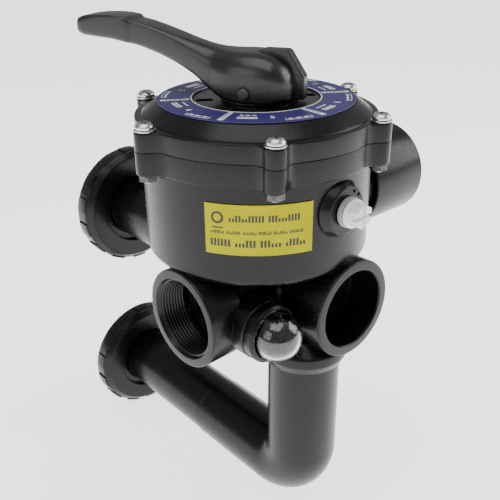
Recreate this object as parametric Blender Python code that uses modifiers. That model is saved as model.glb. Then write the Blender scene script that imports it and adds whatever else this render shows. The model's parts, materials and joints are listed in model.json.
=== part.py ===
"""Multiport valve for a pool filter: a side-mounted six-position diverter valve.

The valve is modelled in its own design frame: the rotor turns about Z at x = y = 0, and the two
small pipe ports lie near z = 0. The unions that fasten it to the filter point along +Y, the
return port faces -Y, the waste port faces -X and the pump socket faces +X. An empty moves that
design frame so that the world origin is the centre of the upper union's sealing face.
"""

import math

import bmesh
import bpy
from mathutils import Matrix, Vector

MM = 0.001
GAP = 0.3
TURN = 2.0 * math.pi

# Facets round a circle, from the bowl down to the screws.
COARSE, MEDIUM, FINE, TINY = 32, 24, 16, 10

# Driving sizes, in millimetres.
SCREW_COUNT = 6
SCREW_CIRCLE = 78.5
SCREW_START_DEG = -124.9
BOSS_RADIUS = 6.5
FLANGE_RADIUS = 75.2
FLANGE_FILLET = 9.5
SEAM_Z = 105.0
FLANGE_BOTTOM_Z = 90.8
FLANGE_TOP_Z = 116.2

BOWL_RADIUS = 72.3
BOWL_WALL = 5.0
BOWL_ROUND_Z = 33.0
BOWL_ROUND = 4.5
FLOOR_Z = 30.0
MANIFOLD_RADIUS = 43.0
MANIFOLD_BOTTOM_Z = -27.0

HUB_RADIUS = 32.4
HUB_TUBE_RADIUS = 29.5
PORT_BORE = 24.5
PASSAGE_RADIUS = 20.0
WASTE_PORT_Y = -10.5
WASTE_PORT_Z = -1.0
WASTE_FACE_X = -73.2
WASTE_HUB_BACK_X = -48.0
RETURN_PORT_X = 11.9
RETURN_PORT_Z = 1.0
RETURN_FACE_Y = -76.9
RETURN_HUB_BACK_Y = -50.5

PUMP_Z = 48.5
PUMP_NECK_RADIUS = 30.0
PUMP_SOCKET_RADIUS = 34.2
PUMP_SOCKET_X = 84.3
PUMP_SOCKET_END_X = 135.4

PIPE_RADIUS = 24.0
PIPE_BORE = 20.0
DOWN_PIPE_Y = -46.3
LOWER_PIPE_Z = -141.3
LOWER_PIPE_RADIUS = 23.4
BEND_RADIUS = 25.5
PIPE_JOINT_Y = 46.0
COLLAR_RADIUS = 29.0

UPPER_NECK_Z = 7.5
UNION_NUT_RADIUS = 47.8
UNION_NUT_Y = 146.5
UNION_NUT_END_Y = 162.9
UNION_HOLE = 29.5
UNION_LUGS = 14
LUG_DEPTH = 3.0
TAIL_BACK_Y = 150.6
UNION_FACE_Y = 158.6

SIGHT_X = -40.0
SIGHT_Z = -3.5
SIGHT_BOSS_RADIUS = 19.5
SIGHT_BOSS_Y = -52.0
SIGHT_DOME_RADIUS = 15.5

PLUG_Z = 71.0
PLUG_BOSS_RADIUS = 17.5
PLUG_BOSS_Y = -77.0

LID_TOP_Z = 123.2
LID_TOP_RADIUS = 61.8
CONE_RADIUS = 71.6
CONE_Z = 115.6
RING_INNER = 39.6
RING_OUTER = 60.8
DETENT_START_DEG = -32.0

STEM_RADIUS = 9.0
ROTOR_RADIUS = 61.0
ROTOR_DISC_Z = 33.4
ROTOR_DISC_TOP_Z = 39.5
ROTOR_HUB_Z = 56.0
STEM_TOP_Z = 138.0
O_RING_LEVELS = (114.0, 109.0)
END_RISE = 2.2

HANDLE_DEG = 118.0
PIN_Z = 130.0
PIN_RADIUS = 3.5
PIN_HALF = 23.6
CHEEK_HALF = 22.0
HANDLE_BASE_Z = 124.6

BLACK = ("black_plastic", (0.012, 0.012, 0.013, 1.0), 0.38, 0.0)
BLUE = ("blue_print", (0.05, 0.04, 0.23, 1.0), 0.35, 0.0)
YELLOW = ("yellow_label", (0.60, 0.58, 0.01, 1.0), 0.4, 0.0)
STEEL = ("stainless_steel", (0.62, 0.62, 0.60, 1.0), 0.25, 1.0)
WHITE = ("white_nylon", (0.80, 0.80, 0.78, 1.0), 0.35, 0.0)
GREY = ("grey_washer", (0.45, 0.45, 0.46, 1.0), 0.5, 0.0)
RUBBER = ("black_rubber", (0.02, 0.02, 0.02, 1.0), 0.8, 0.0)
CLEAR = ("clear_dome", (0.85, 0.88, 0.9, 1.0), 0.05, 0.0)
LIGHT = ("acetal", (0.55, 0.55, 0.52, 1.0), 0.4, 0.0)

X_AXIS = Vector((1.0, 0.0, 0.0))
Y_AXIS = Vector((0.0, 1.0, 0.0))
Z_AXIS = Vector((0.0, 0.0, 1.0))


# ---------------------------------------------------------------- helpers

def clear_scene():
    for thing in list(bpy.data.objects):
        bpy.data.objects.remove(thing, do_unlink=True)


def new_collection(name):
    group = bpy.data.collections.new(name)
    bpy.context.scene.collection.children.link(group)
    return group


def material(spec):
    name, colour, roughness, metallic = spec
    mat = bpy.data.materials.get(name)
    if mat is None:
        mat = bpy.data.materials.new(name)
        mat.use_nodes = True
        shader = mat.node_tree.nodes["Principled BSDF"]
        shader.inputs["Base Color"].default_value = colour
        shader.inputs["Roughness"].default_value = roughness
        shader.inputs["Metallic"].default_value = metallic
    return mat


def facing(axis):
    """Rotation that takes +Z onto an axis, with no twist."""
    return Z_AXIS.rotation_difference(Vector(axis)).to_matrix().to_4x4()


def finish_object(obj, spec=None, at=(0, 0, 0), axis=Z_AXIS, parent=None):
    """Parts carry a material; a piece without one is a cutter or a shape to be joined."""
    if spec is None:
        CUTTERS.objects.link(obj)
        obj.hide_render = True
        obj.display_type = "WIRE"
    else:
        PARTS.objects.link(obj)
        obj.data.materials.append(material(spec))
    obj.parent = parent or FRAME
    obj.matrix_local = Matrix.Translation(Vector(at) * MM) @ facing(axis)
    return obj


def from_bmesh(name, bm):
    mesh = bpy.data.meshes.new(name)
    bm.to_mesh(mesh)
    bm.free()
    return bpy.data.objects.new(name, mesh)


def block(name, low, high, spec=None, spin_deg=0.0):
    """A box between two corners, turned about the rotor axis."""
    bm = bmesh.new()
    bmesh.ops.create_cube(bm, size=1.0)
    size = [(b - a) * MM for a, b in zip(low, high)]
    middle = [(a + b) * 0.5 * MM for a, b in zip(low, high)]
    spin = Matrix.Rotation(math.radians(spin_deg), 4, "Z")
    shape = spin @ Matrix.Translation(middle) @ Matrix.Diagonal((*size, 1.0))
    bmesh.ops.transform(bm, matrix=shape, verts=bm.verts)
    return finish_object(from_bmesh(name, bm), spec)


def rod(name, radius, start, end, axis, at=(0, 0, 0), spec=None, sides=MEDIUM, end_radius=None):
    """A solid cylinder or cone from start to end along an axis through at."""
    bm = bmesh.new()
    last = radius if end_radius is None else end_radius
    bmesh.ops.create_cone(bm, cap_ends=True, segments=sides, radius1=radius * MM,
                          radius2=last * MM, depth=(end - start) * MM)
    bmesh.ops.translate(bm, verts=bm.verts, vec=(0, 0, (start + end) * 0.5 * MM))
    obj = finish_object(from_bmesh(name, bm), spec, at, axis)
    shade(obj)
    return obj


def arc(centre, radius, start_deg, end_deg, count):
    """Points of an arc in a profile plane, both ends included."""
    points = []
    for i in range(count + 1):
        angle = math.radians(start_deg + (end_deg - start_deg) * i / count)
        points.append((centre[0] + radius * math.cos(angle), centre[1] + radius * math.sin(angle)))
    return points


def turned(name, profile, spec=None, at=(0, 0, 0), axis=Z_AXIS, steps=MEDIUM, ring=False):
    """A turned shape: a profile of (radius, height) points swept round an axis.

    An open profile starts and ends on the axis and runs down the outer side. A ring is closed.
    """
    mesh = bpy.data.meshes.new(name)
    points = [(radius * MM, 0.0, height * MM) for radius, height in profile]
    edges = [(i, i + 1) for i in range(len(points) - 1)]
    if ring:
        edges.append((len(points) - 1, 0))
    mesh.from_pydata(points, edges, [])
    obj = bpy.data.objects.new(name, mesh)
    screw = obj.modifiers.new("turn", "SCREW")
    screw.steps = steps
    screw.render_steps = steps
    screw.use_merge_vertices = True
    screw.merge_threshold = 0.00001
    screw.use_smooth_shade = True
    return finish_object(obj, spec, at, axis)


def torus(name, major, minor, spec, at=(0, 0, 0), axis=Z_AXIS, steps=FINE, sides=6):
    circle = arc((major, 0.0), minor, 90.0, 90.0 - 360.0 * (sides - 1) / sides, sides - 1)
    return turned(name, circle, spec, at, axis, steps, ring=True)


def plate(name, outline, low, high, spec=None, at=(0, 0, 0), matrix=None):
    """A flat outline given a thickness, made as a filled 2D curve and kept as a mesh."""
    data = bpy.data.curves.new(name, "CURVE")
    data.dimensions = "2D"
    data.fill_mode = "BOTH"
    data.extrude = (high - low) * 0.5 * MM
    spline = data.splines.new("POLY")
    spline.points.add(len(outline) - 1)
    for point, (x, y) in zip(spline.points, outline):
        point.co = (x * MM, y * MM, 0.0, 1.0)
    spline.use_cyclic_u = True
    lift = Matrix.Translation((0.0, 0.0, (low + high) * 0.5 * MM))
    placed = lift if matrix is None else matrix @ lift
    return curve_to_mesh(name, data, spec, at, placed)


def curve_to_mesh(name, data, spec=None, at=(0, 0, 0), matrix=None):
    """Turn a curve into a welded mesh object in the design frame."""
    curve = bpy.data.objects.new(name + "_curve", data)
    bpy.context.scene.collection.objects.link(curve)
    graph = bpy.context.evaluated_depsgraph_get()
    mesh = bpy.data.meshes.new_from_object(curve.evaluated_get(graph))
    bpy.data.objects.remove(curve, do_unlink=True)
    bm = bmesh.new()
    bm.from_mesh(mesh)
    bmesh.ops.remove_doubles(bm, verts=bm.verts, dist=0.000005)
    if matrix is not None:
        bmesh.ops.transform(bm, matrix=matrix, verts=bm.verts)
    bmesh.ops.recalc_face_normals(bm, faces=bm.faces)
    mesh.clear_geometry()
    bm.to_mesh(mesh)
    bm.free()
    obj = bpy.data.objects.new(name, mesh)
    return finish_object(obj, spec, at)


def tube_path(name, points, radius, spec=None, resolution=10):
    """A solid bar of round section along a poly line."""
    data = bpy.data.curves.new(name, "CURVE")
    data.dimensions = "3D"
    data.bevel_depth = radius * MM
    data.bevel_resolution = resolution
    data.use_fill_caps = True
    spline = data.splines.new("POLY")
    spline.points.add(len(points) - 1)
    for point, place in zip(spline.points, points):
        point.co = (place[0] * MM, place[1] * MM, place[2] * MM, 1.0)
    return curve_to_mesh(name, data, spec)


def shade(obj, angle_deg=35.0):
    obj.data.shade_smooth()
    obj.data.set_sharp_from_angle(angle=math.radians(angle_deg))


def combine(base, others, operation, solver="EXACT"):
    for other in others:
        step = base.modifiers.new(operation.lower() + "_" + other.name, "BOOLEAN")
        step.operation = operation
        step.solver = solver
        step.object = other


def join(base, *others):
    combine(base, others, "UNION")


def cut(base, *others):
    combine(base, others, "DIFFERENCE")


def screw_angles():
    return [SCREW_START_DEG + 360.0 * i / SCREW_COUNT for i in range(SCREW_COUNT)]


def polar(radius, angle_deg, z=0.0):
    angle = math.radians(angle_deg)
    return Vector((radius * math.cos(angle), radius * math.sin(angle), z))


# ---------------------------------------------------------------- shared outlines

def flange_outline():
    """The round flange with six screw bosses, blended by concave fillets."""
    fillet_ring = FLANGE_RADIUS + FLANGE_FILLET
    reach = BOSS_RADIUS + FLANGE_FILLET
    cosine = (SCREW_CIRCLE ** 2 + fillet_ring ** 2 - reach ** 2) / (2 * SCREW_CIRCLE * fillet_ring)
    alpha = math.degrees(math.acos(cosine))
    points = []
    for middle in screw_angles():
        boss = polar(SCREW_CIRCLE, middle)
        for side in (-1.0, 1.0):
            fillet = polar(fillet_ring, middle + side * alpha)
            to_axis = math.degrees(math.atan2(-fillet.y, -fillet.x))
            to_boss = math.degrees(math.atan2(boss.y - fillet.y, boss.x - fillet.x))
            sweep = (to_boss - to_axis + 180.0) % 360.0 - 180.0
            curve = arc(fillet, FLANGE_FILLET, to_axis, to_axis + sweep, 3)
            if side > 0.0:
                curve.reverse()
                points += boss_arc(boss, middle, points[-1], curve[0])
            points += curve
        points += rim_arc(middle + alpha, middle + 360.0 / SCREW_COUNT - alpha)
    return points


def boss_arc(boss, middle, first, last):
    """The outer side of a screw boss, between its two fillets, ends left out."""
    half = math.degrees(math.atan2(first[1] - boss.y, first[0] - boss.x)) - middle
    half = abs((half + 180.0) % 360.0 - 180.0)
    return arc(boss, BOSS_RADIUS, middle - half, middle + half, 5)[1:-1]


def rim_arc(start_deg, end_deg):
    return arc((0.0, 0.0), FLANGE_RADIUS, start_deg, end_deg, 5)[1:-1]


def screw_holes(low, high):
    return [rod("screw_hole", 3.4, low, high, Z_AXIS, polar(SCREW_CIRCLE, angle), sides=TINY)
            for angle in screw_angles()]


def sector(name, inner, outer, middle_deg, half_deg, low, high):
    """A slice of a ring, used for ports, pockets and label patches."""
    outline = arc((0.0, 0.0), outer, middle_deg - half_deg, middle_deg + half_deg, 8)
    outline += arc((0.0, 0.0), inner, middle_deg + half_deg, middle_deg - half_deg, 8)
    return plate(name, outline, low, high)


# ---------------------------------------------------------------- valve body

def bowl_profile():
    knee = arc((BOWL_RADIUS - BOWL_ROUND, BOWL_ROUND_Z), BOWL_ROUND, 0.0, -75.0, 4)
    return [(0.0, SEAM_Z - 1.0), (BOWL_RADIUS, SEAM_Z - 1.0)] + knee + [
        (50.5, 23.8), (MANIFOLD_RADIUS + 4.5, 16.0), (MANIFOLD_RADIUS + 4.0, 3.0), (MANIFOLD_RADIUS, -4.0),
        (MANIFOLD_RADIUS - 5.0, MANIFOLD_BOTTOM_Z), (0.0, MANIFOLD_BOTTOM_Z)]


def hub_profile(length, back):
    """A port hub seen along its axis: face at height zero, tube running back from the hub."""
    edge = 1.2
    return [(0.0, 0.0), (HUB_RADIUS - edge, 0.0), (HUB_RADIUS, -edge), (HUB_RADIUS, -length + edge),
            (HUB_RADIUS - edge, -length), (HUB_TUBE_RADIUS, -length), (HUB_TUBE_RADIUS, -back),
            (0.0, -back)]


def body_ports():
    """The solid shapes that stand out from the bowl and the manifold below it."""
    waste_length = WASTE_HUB_BACK_X - WASTE_FACE_X
    return_length = RETURN_HUB_BACK_Y - RETURN_FACE_Y
    collar = [(0.0, -21.0), (PIPE_RADIUS - 4.0, -21.0), (COLLAR_RADIUS, -28.5), (COLLAR_RADIUS, -35.0),
              (26.2, -41.0), (0.0, -41.0)]
    return [
        turned("waste_hub", hub_profile(waste_length, -WASTE_FACE_X - 5.0),
               at=(WASTE_FACE_X, WASTE_PORT_Y, WASTE_PORT_Z), axis=-X_AXIS),
        turned("return_hub", hub_profile(return_length, -RETURN_FACE_Y - 8.0),
               at=(RETURN_PORT_X, RETURN_FACE_Y, RETURN_PORT_Z), axis=-Y_AXIS),
        turned("pipe_collar", collar, at=(0.0, DOWN_PIPE_Y, 0.0)),
        rod("sight_boss", SIGHT_BOSS_RADIUS, 12.0, -SIGHT_BOSS_Y, -Y_AXIS, (SIGHT_X, 0.0, SIGHT_Z)),
        rod("upper_neck", PIPE_RADIUS, 20.0, TAIL_BACK_Y + 5.0, Y_AXIS, (0.0, 0.0, UPPER_NECK_Z)),
        rod("pump_neck", PUMP_NECK_RADIUS, 40.0, 98.0, X_AXIS, (0.0, 0.0, PUMP_Z)),
        rod("plug_boss", PLUG_BOSS_RADIUS, 50.0, -PLUG_BOSS_Y, -Y_AXIS, (0.0, 0.0, PLUG_Z), sides=FINE),
    ]


def body_passages():
    """Everything hollow in the body: the rotor chamber, the ports and the ways between them."""
    inner = BOWL_RADIUS - BOWL_WALL
    return [
        rod("rotor_chamber", inner, FLOOR_Z, SEAM_Z + 5.0, Z_AXIS, sides=COARSE),
        rod("pump_bore", 25.0, 45.0, 110.0, X_AXIS, (0.0, 0.0, PUMP_Z)),
        rod("waste_bore", PORT_BORE, 48.0, 80.0, -X_AXIS, (0.0, WASTE_PORT_Y, WASTE_PORT_Z)),
        rod("waste_passage", PASSAGE_RADIUS, 31.0, 50.0, -X_AXIS, (0.0, WASTE_PORT_Y, WASTE_PORT_Z)),
        block("waste_way", (-50.0, -18.0, 0.0), (-34.0, -2.0, FLOOR_Z + 1.0)),
        rod("return_bore", PORT_BORE + 1.0, 52.0, 80.0, -Y_AXIS, (RETURN_PORT_X, 0.0, RETURN_PORT_Z)),
        block("return_way", (2.0, -60.0, 2.0), (22.0, -53.0, FLOOR_Z + 1.0)),
        rod("down_bore", PASSAGE_RADIUS, -60.0, -29.0, Z_AXIS, (0.0, DOWN_PIPE_Y, 0.0)),
        rod("down_socket", PIPE_RADIUS + GAP, -60.0, -33.0, Z_AXIS, (0.0, DOWN_PIPE_Y, 0.0)),
        block("down_way", (-10.0, -38.0, -30.0), (10.0, -27.0, FLOOR_Z + 1.0)),
        rod("neck_bore", PASSAGE_RADIUS, 22.0, 170.0, Y_AXIS, (0.0, 0.0, UPPER_NECK_Z)),
        block("neck_way", (-13.0, 24.0, UPPER_NECK_Z), (13.0, 46.0, FLOOR_Z + 1.0)),
        rod("sight_bore", 11.0, 14.0, 60.0, -Y_AXIS, (SIGHT_X, 0.0, SIGHT_Z), sides=FINE),
        rod("plug_hole", 9.6, 40.0, 90.0, -Y_AXIS, (0.0, 0.0, PLUG_Z), sides=FINE),
        turned("sight_groove", [(16.6, 1.0), (16.6, -1.9), (13.2, -1.9), (13.2, 1.0)],
               at=(SIGHT_X, SIGHT_BOSS_Y, SIGHT_Z), axis=-Y_AXIS, ring=True),
        turned("lid_seal_groove", [(72.6, SEAM_Z + 2.0), (72.6, SEAM_Z - 3.2), (69.2, SEAM_Z - 3.2),
                                   (69.2, SEAM_Z + 2.0)], ring=True, steps=COARSE),
    ]


def make_valve_body():
    body = turned("valve_body", bowl_profile(), BLACK, steps=COARSE)
    flange = plate("body_flange", flange_outline(), FLANGE_BOTTOM_Z, SEAM_Z - 0.15)
    # The exact solver leaves edges with three faces where these many bores meet.
    combine(body, [flange] + body_ports(), "UNION", "MANIFOLD")
    combine(body, body_passages(), "DIFFERENCE", "MANIFOLD")
    combine(body, screw_holes(FLANGE_BOTTOM_Z - 5.0, SEAM_Z + 5.0), "DIFFERENCE", "MANIFOLD")


# ---------------------------------------------------------------- pipework and unions

def make_pump_socket():
    bore = PUMP_NECK_RADIUS + GAP
    start, end, stop = PUMP_SOCKET_X, PUMP_SOCKET_END_X, 98.3
    profile = [(PUMP_SOCKET_RADIUS, end), (PUMP_SOCKET_RADIUS, start), (bore, start), (bore, stop),
               (25.5, stop), (25.5, stop + 3.0), (bore, stop + 3.0), (bore, end)]
    turned("pump_socket", profile, BLACK, (0.0, 0.0, PUMP_Z), X_AXIS, ring=True)


def elbow_route(start_z, end_y):
    """Down the vertical leg, round the bend and along +Y."""
    bend = arc((DOWN_PIPE_Y + BEND_RADIUS, LOWER_PIPE_Z + BEND_RADIUS), BEND_RADIUS, 180.0, 270.0, 7)
    route = [(0.0, DOWN_PIPE_Y, start_z)]
    route += [(0.0, y, z) for y, z in bend]
    return route + [(0.0, end_y, LOWER_PIPE_Z)]


def make_return_pipework():
    elbow = tube_path("return_elbow", elbow_route(-33.3, PIPE_JOINT_Y), PIPE_RADIUS, BLACK)
    cut(elbow, tube_path("elbow_bore", elbow_route(-20.0, PIPE_JOINT_Y + 10.0), PIPE_BORE))
    shade(elbow)
    pipe = [(LOWER_PIPE_RADIUS, TAIL_BACK_Y + 5.0), (LOWER_PIPE_RADIUS, PIPE_JOINT_Y + GAP),
            (PIPE_BORE, PIPE_JOINT_Y + GAP), (PIPE_BORE, TAIL_BACK_Y + 5.0)]
    turned("return_pipe", pipe, BLACK, (0.0, 0.0, LOWER_PIPE_Z), Y_AXIS, ring=True)


def tailpiece_profile():
    """A flanged end glued on a pipe, with a seal groove in its sealing face."""
    socket = PIPE_RADIUS + GAP
    back, face = TAIL_BACK_Y, UNION_FACE_Y
    return [(39.0, face), (39.0, back), (socket, back), (socket, back + 5.4), (PIPE_BORE, back + 5.4),
            (PIPE_BORE, face), (27.6, face), (27.6, face - 3.0), (32.6, face - 3.0), (32.6, face)]


def union_nut_profile():
    near, far = UNION_NUT_Y, UNION_NUT_END_Y
    rim = UNION_NUT_RADIUS - 1.0
    return [(rim, far), (rim, near + 5.0), (rim - 4.5, near), (UNION_HOLE, near),
            (UNION_HOLE, near + 3.8), (40.0, near + 3.8), (40.0, far)]


def make_union(prefix, z):
    at = (0.0, 0.0, z)
    turned(prefix + "_tailpiece", tailpiece_profile(), BLACK, at, Y_AXIS, ring=True)
    torus(prefix + "_union_o_ring", 30.1, 2.0, RUBBER, (0.0, UNION_FACE_Y - 0.7, z), Y_AXIS)
    nut = turned(prefix + "_union_nut", union_nut_profile(), BLACK, at, Y_AXIS, ring=True, steps=MEDIUM)
    half = 360.0 / UNION_LUGS * 0.27
    lugs = []
    for i in range(UNION_LUGS):
        outline = arc((0.0, 0.0), UNION_NUT_RADIUS, -half, half, 2)
        outline += arc((0.0, 0.0), UNION_NUT_RADIUS - LUG_DEPTH, half, -half, 2)
        turn = Matrix.Rotation(TURN * i / UNION_LUGS, 4, "Z")
        place = facing(Y_AXIS) @ turn
        lugs.append(plate(prefix + "_lug", outline, UNION_NUT_Y + 4.0, UNION_NUT_END_Y - 1.0,
                          at=at, matrix=place))
    join(nut, *lugs)


# ---------------------------------------------------------------- lid, labels and fasteners

def make_lid():
    top = [(0.0, LID_TOP_Z), (LID_TOP_RADIUS, LID_TOP_Z)]
    knee = arc((CONE_RADIUS - 3.0, CONE_Z - 0.5), 3.0, 50.0, 0.0, 4)
    outer = top + knee + [(CONE_RADIUS, SEAM_Z + 2.0), (0.0, SEAM_Z + 2.0)]
    lid = turned("lid", outer, BLACK, steps=COARSE)
    flange = plate("lid_flange", flange_outline(), SEAM_Z + 0.15, FLANGE_TOP_Z)
    join(lid, flange)
    roof = LID_TOP_Z - 5.5
    hollow = [(57.0, roof), (64.5, roof - 7.0), (64.5, SEAM_Z - 5.0), (17.5, SEAM_Z - 5.0),
              (17.5, roof)]
    cut(lid, turned("lid_hollow", hollow, ring=True, steps=COARSE))
    cut(lid, rod("stem_bore", STEM_RADIUS + 0.5, 90.0, 140.0, Z_AXIS, sides=MEDIUM))
    cut(lid, *screw_holes(SEAM_Z - 5.0, FLANGE_TOP_Z + 5.0))
    slots = [block("detent_slot", (27.0, -1.9, LID_TOP_Z - 1.6), (37.0, 1.9, LID_TOP_Z + 2.0),
                   spin_deg=DETENT_START_DEG + 60.0 * i) for i in range(6)]
    cut(lid, *slots)
    torus("lid_o_ring", 70.9, 1.35, RUBBER, (0.0, 0.0, SEAM_Z - 1.55), steps=COARSE)


def make_labels():
    low = LID_TOP_Z + GAP
    ring = [(RING_OUTER, low + 0.6), (RING_OUTER, low), (RING_INNER, low), (RING_INNER, low + 0.6)]
    turned("position_ring", ring, BLUE, ring=True, steps=COARSE)
    inner = BOWL_RADIUS + GAP
    outline = arc((0.0, 0.0), inner + 0.5, -155.7, -106.6, 12)
    outline += arc((0.0, 0.0), inner, -106.6, -155.7, 12)
    plate("front_label", outline, 50.4, 81.1, YELLOW)


def make_fasteners():
    washer_low = FLANGE_TOP_Z + GAP
    head_low = washer_low + 0.8 + GAP
    nut_high = FLANGE_BOTTOM_Z - GAP
    for i, angle in enumerate(screw_angles(), start=1):
        at = polar(SCREW_CIRCLE, angle)
        head = [(0.0, head_low + 3.6), (3.6, head_low + 3.4), (5.6, head_low + 1.6), (5.6, head_low),
                (2.9, head_low), (2.9, nut_high - 4.6), (0.0, nut_high - 4.6)]
        turned(f"lid_screw_{i}", head, STEEL, at, steps=TINY)
        washer = [(6.3, washer_low + 0.8), (6.3, washer_low), (3.3, washer_low), (3.3, washer_low + 0.8)]
        turned(f"lid_washer_{i}", washer, STEEL, at, steps=TINY, ring=True)
        nut = rod(f"lid_nut_{i}", 5.7, nut_high - 3.4, nut_high, Z_AXIS, at, STEEL, sides=6)
        cut(nut, rod(f"nut_bore_{i}", 3.3, nut_high - 10.0, nut_high + 5.0, Z_AXIS, at, sides=TINY))


# ---------------------------------------------------------------- rotor and its spring

def make_rotor():
    profile = [(0.0, STEM_TOP_Z), (STEM_RADIUS - 1.5, STEM_TOP_Z), (STEM_RADIUS, STEM_TOP_Z - 1.5)]
    for z in O_RING_LEVELS:
        profile += [(STEM_RADIUS, z + 1.6), (6.9, z + 1.6), (6.9, z - 1.6), (STEM_RADIUS, z - 1.6)]
    profile += [(STEM_RADIUS, ROTOR_HUB_Z), (18.0, ROTOR_HUB_Z), (22.0, ROTOR_DISC_TOP_Z + 5.0),
                (30.0, ROTOR_DISC_TOP_Z), (ROTOR_RADIUS, ROTOR_DISC_TOP_Z), (ROTOR_RADIUS, ROTOR_DISC_Z),
                (0.0, ROTOR_DISC_Z)]
    rotor = turned("rotor", profile, LIGHT)
    dome = sector("rotor_dome", 18.0, 57.0, 20.0, 52.0, ROTOR_DISC_Z + 1.0, 50.0)
    pocket = sector("rotor_pocket", 22.5, 53.0, 20.0, 47.0, ROTOR_DISC_Z - 5.0, 46.5)
    window = sector("rotor_window", 24.0, 54.0, 200.0, 24.0, ROTOR_DISC_Z - 5.0, ROTOR_DISC_TOP_Z + 15.0)
    join(rotor, dome)
    cut(rotor, pocket, window)
    cross = rod("stem_pin_hole", PIN_RADIUS + GAP, -30.0, 30.0, polar(1.0, HANDLE_DEG + 90.0),
                (0.0, 0.0, PIN_Z), sides=TINY)
    cut(rotor, cross)
    for i, z in enumerate(O_RING_LEVELS, start=1):
        torus(f"stem_o_ring_{i}", 8.2, 1.05, RUBBER, (0.0, 0.0, z), steps=FINE)


def make_spring_stack():
    low = ROTOR_HUB_Z + GAP
    washer = [(17.4, 1.5), (17.4, 0.0), (9.5, 0.0), (9.5, 1.5)]
    turned("lower_spring_washer", washer, LIGHT, (0.0, 0.0, low), ring=True, steps=FINE)
    top = SEAM_Z - 3.8
    turned("upper_spring_washer", washer, LIGHT, (0.0, 0.0, top), ring=True, steps=FINE)
    wire, mean, turns, per_turn = 1.6, 13.3, 5.0, 14
    start = low + 1.5 + GAP + wire
    end = top - GAP - wire
    count = int(turns * per_turn)
    points = []
    for i in range(count + 1):
        share = i / count
        climb = min(max((share * turns - 0.75) / (turns - 1.5), 0.0), 1.0)
        angle = TURN * turns * share
        height = start + closed_end(share, turns, wire) + climb * (end - start - 2.0 * END_RISE * wire)
        points.append((mean * math.cos(angle), mean * math.sin(angle), height))
    tube_path("rotor_spring", points, wire, STEEL, resolution=2)


def closed_end(share, turns, wire):
    """The end coils rise by just over one wire, so that they lie against the next coil."""
    first = min(share * turns / 0.75, 1.0)
    last = max((share * turns - turns + 0.75) / 0.75, 0.0)
    return END_RISE * wire * (first + last)


def make_spider_gasket():
    low = FLOOR_Z + GAP
    ring = [(62.0, low + 2.6), (62.0, low), (57.5, low), (57.5, low + 2.6)]
    gasket = turned("spider_gasket", ring, RUBBER, ring=True, steps=COARSE)
    hub = turned("gasket_hub", [(12.0, low + 2.6), (12.0, low), (7.0, low), (7.0, low + 2.6)], ring=True)
    spokes = [block("gasket_spoke", (10.0, -2.0, low), (59.0, 2.0, low + 2.6), spin_deg=60.0 * i + 28.0)
              for i in range(6)]
    join(gasket, hub, *spokes)


# ---------------------------------------------------------------- handle

HANDLE_SECTIONS = (
    # along lever, half width, bottom height, top height, squareness
    (-25.5, 9.0, 126.5, 136.0, 2.2),
    (-23.5, 16.0, HANDLE_BASE_Z + 0.4, 143.5, 2.4),
    (-18.0, 20.5, HANDLE_BASE_Z, 149.5, 2.6),
    (-10.0, CHEEK_HALF, HANDLE_BASE_Z, 154.0, 2.8),
    (2.0, CHEEK_HALF, HANDLE_BASE_Z, 156.5, 3.0),
    (10.0, 20.5, HANDLE_BASE_Z + 0.2, 157.0, 3.0),
    (16.0, 18.5, HANDLE_BASE_Z + 1.2, 157.3, 3.0),
    (24.0, 15.0, 130.0, 158.0, 3.0),
    (37.0, 12.0, 139.2, 160.0, 3.0),
    (52.0, 10.8, 146.2, 163.0, 3.2),
    (68.0, 10.6, 151.2, 166.6, 3.4),
    (86.0, 11.2, 154.6, 169.0, 3.6),
    (102.0, 12.0, 156.2, 169.6, 3.6),
    (112.0, 11.6, 156.9, 168.6, 3.4),
    (117.5, 9.6, 158.6, 166.6, 3.0),
)
SECTION_POINTS = 20


def section_loop(bm, turn, along, half, low, high, square):
    """One cross-section of the lever: a rounded rectangle on the plane across it."""
    ring = []
    for i in range(SECTION_POINTS):
        angle = TURN * i / SECTION_POINTS
        c, s = math.cos(angle), math.sin(angle)
        across = half * math.copysign(abs(c) ** (2.0 / square), c)
        height = (low + high) * 0.5 + (high - low) * 0.5 * math.copysign(abs(s) ** (2.0 / square), s)
        ring.append(bm.verts.new(turn @ Vector((along, across, height)) * MM))
    return ring


def handle_loft():
    bm = bmesh.new()
    turn = Matrix.Rotation(math.radians(HANDLE_DEG), 3, "Z")
    loops = [section_loop(bm, turn, *row) for row in HANDLE_SECTIONS]
    for first, second in zip(loops, loops[1:]):
        for i in range(SECTION_POINTS):
            j = (i + 1) % SECTION_POINTS
            bm.faces.new((first[i], second[i], second[j], first[j]))
    bm.faces.new(loops[0])
    bm.faces.new(list(reversed(loops[-1])))
    bmesh.ops.recalc_face_normals(bm, faces=bm.faces)
    return bm


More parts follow.
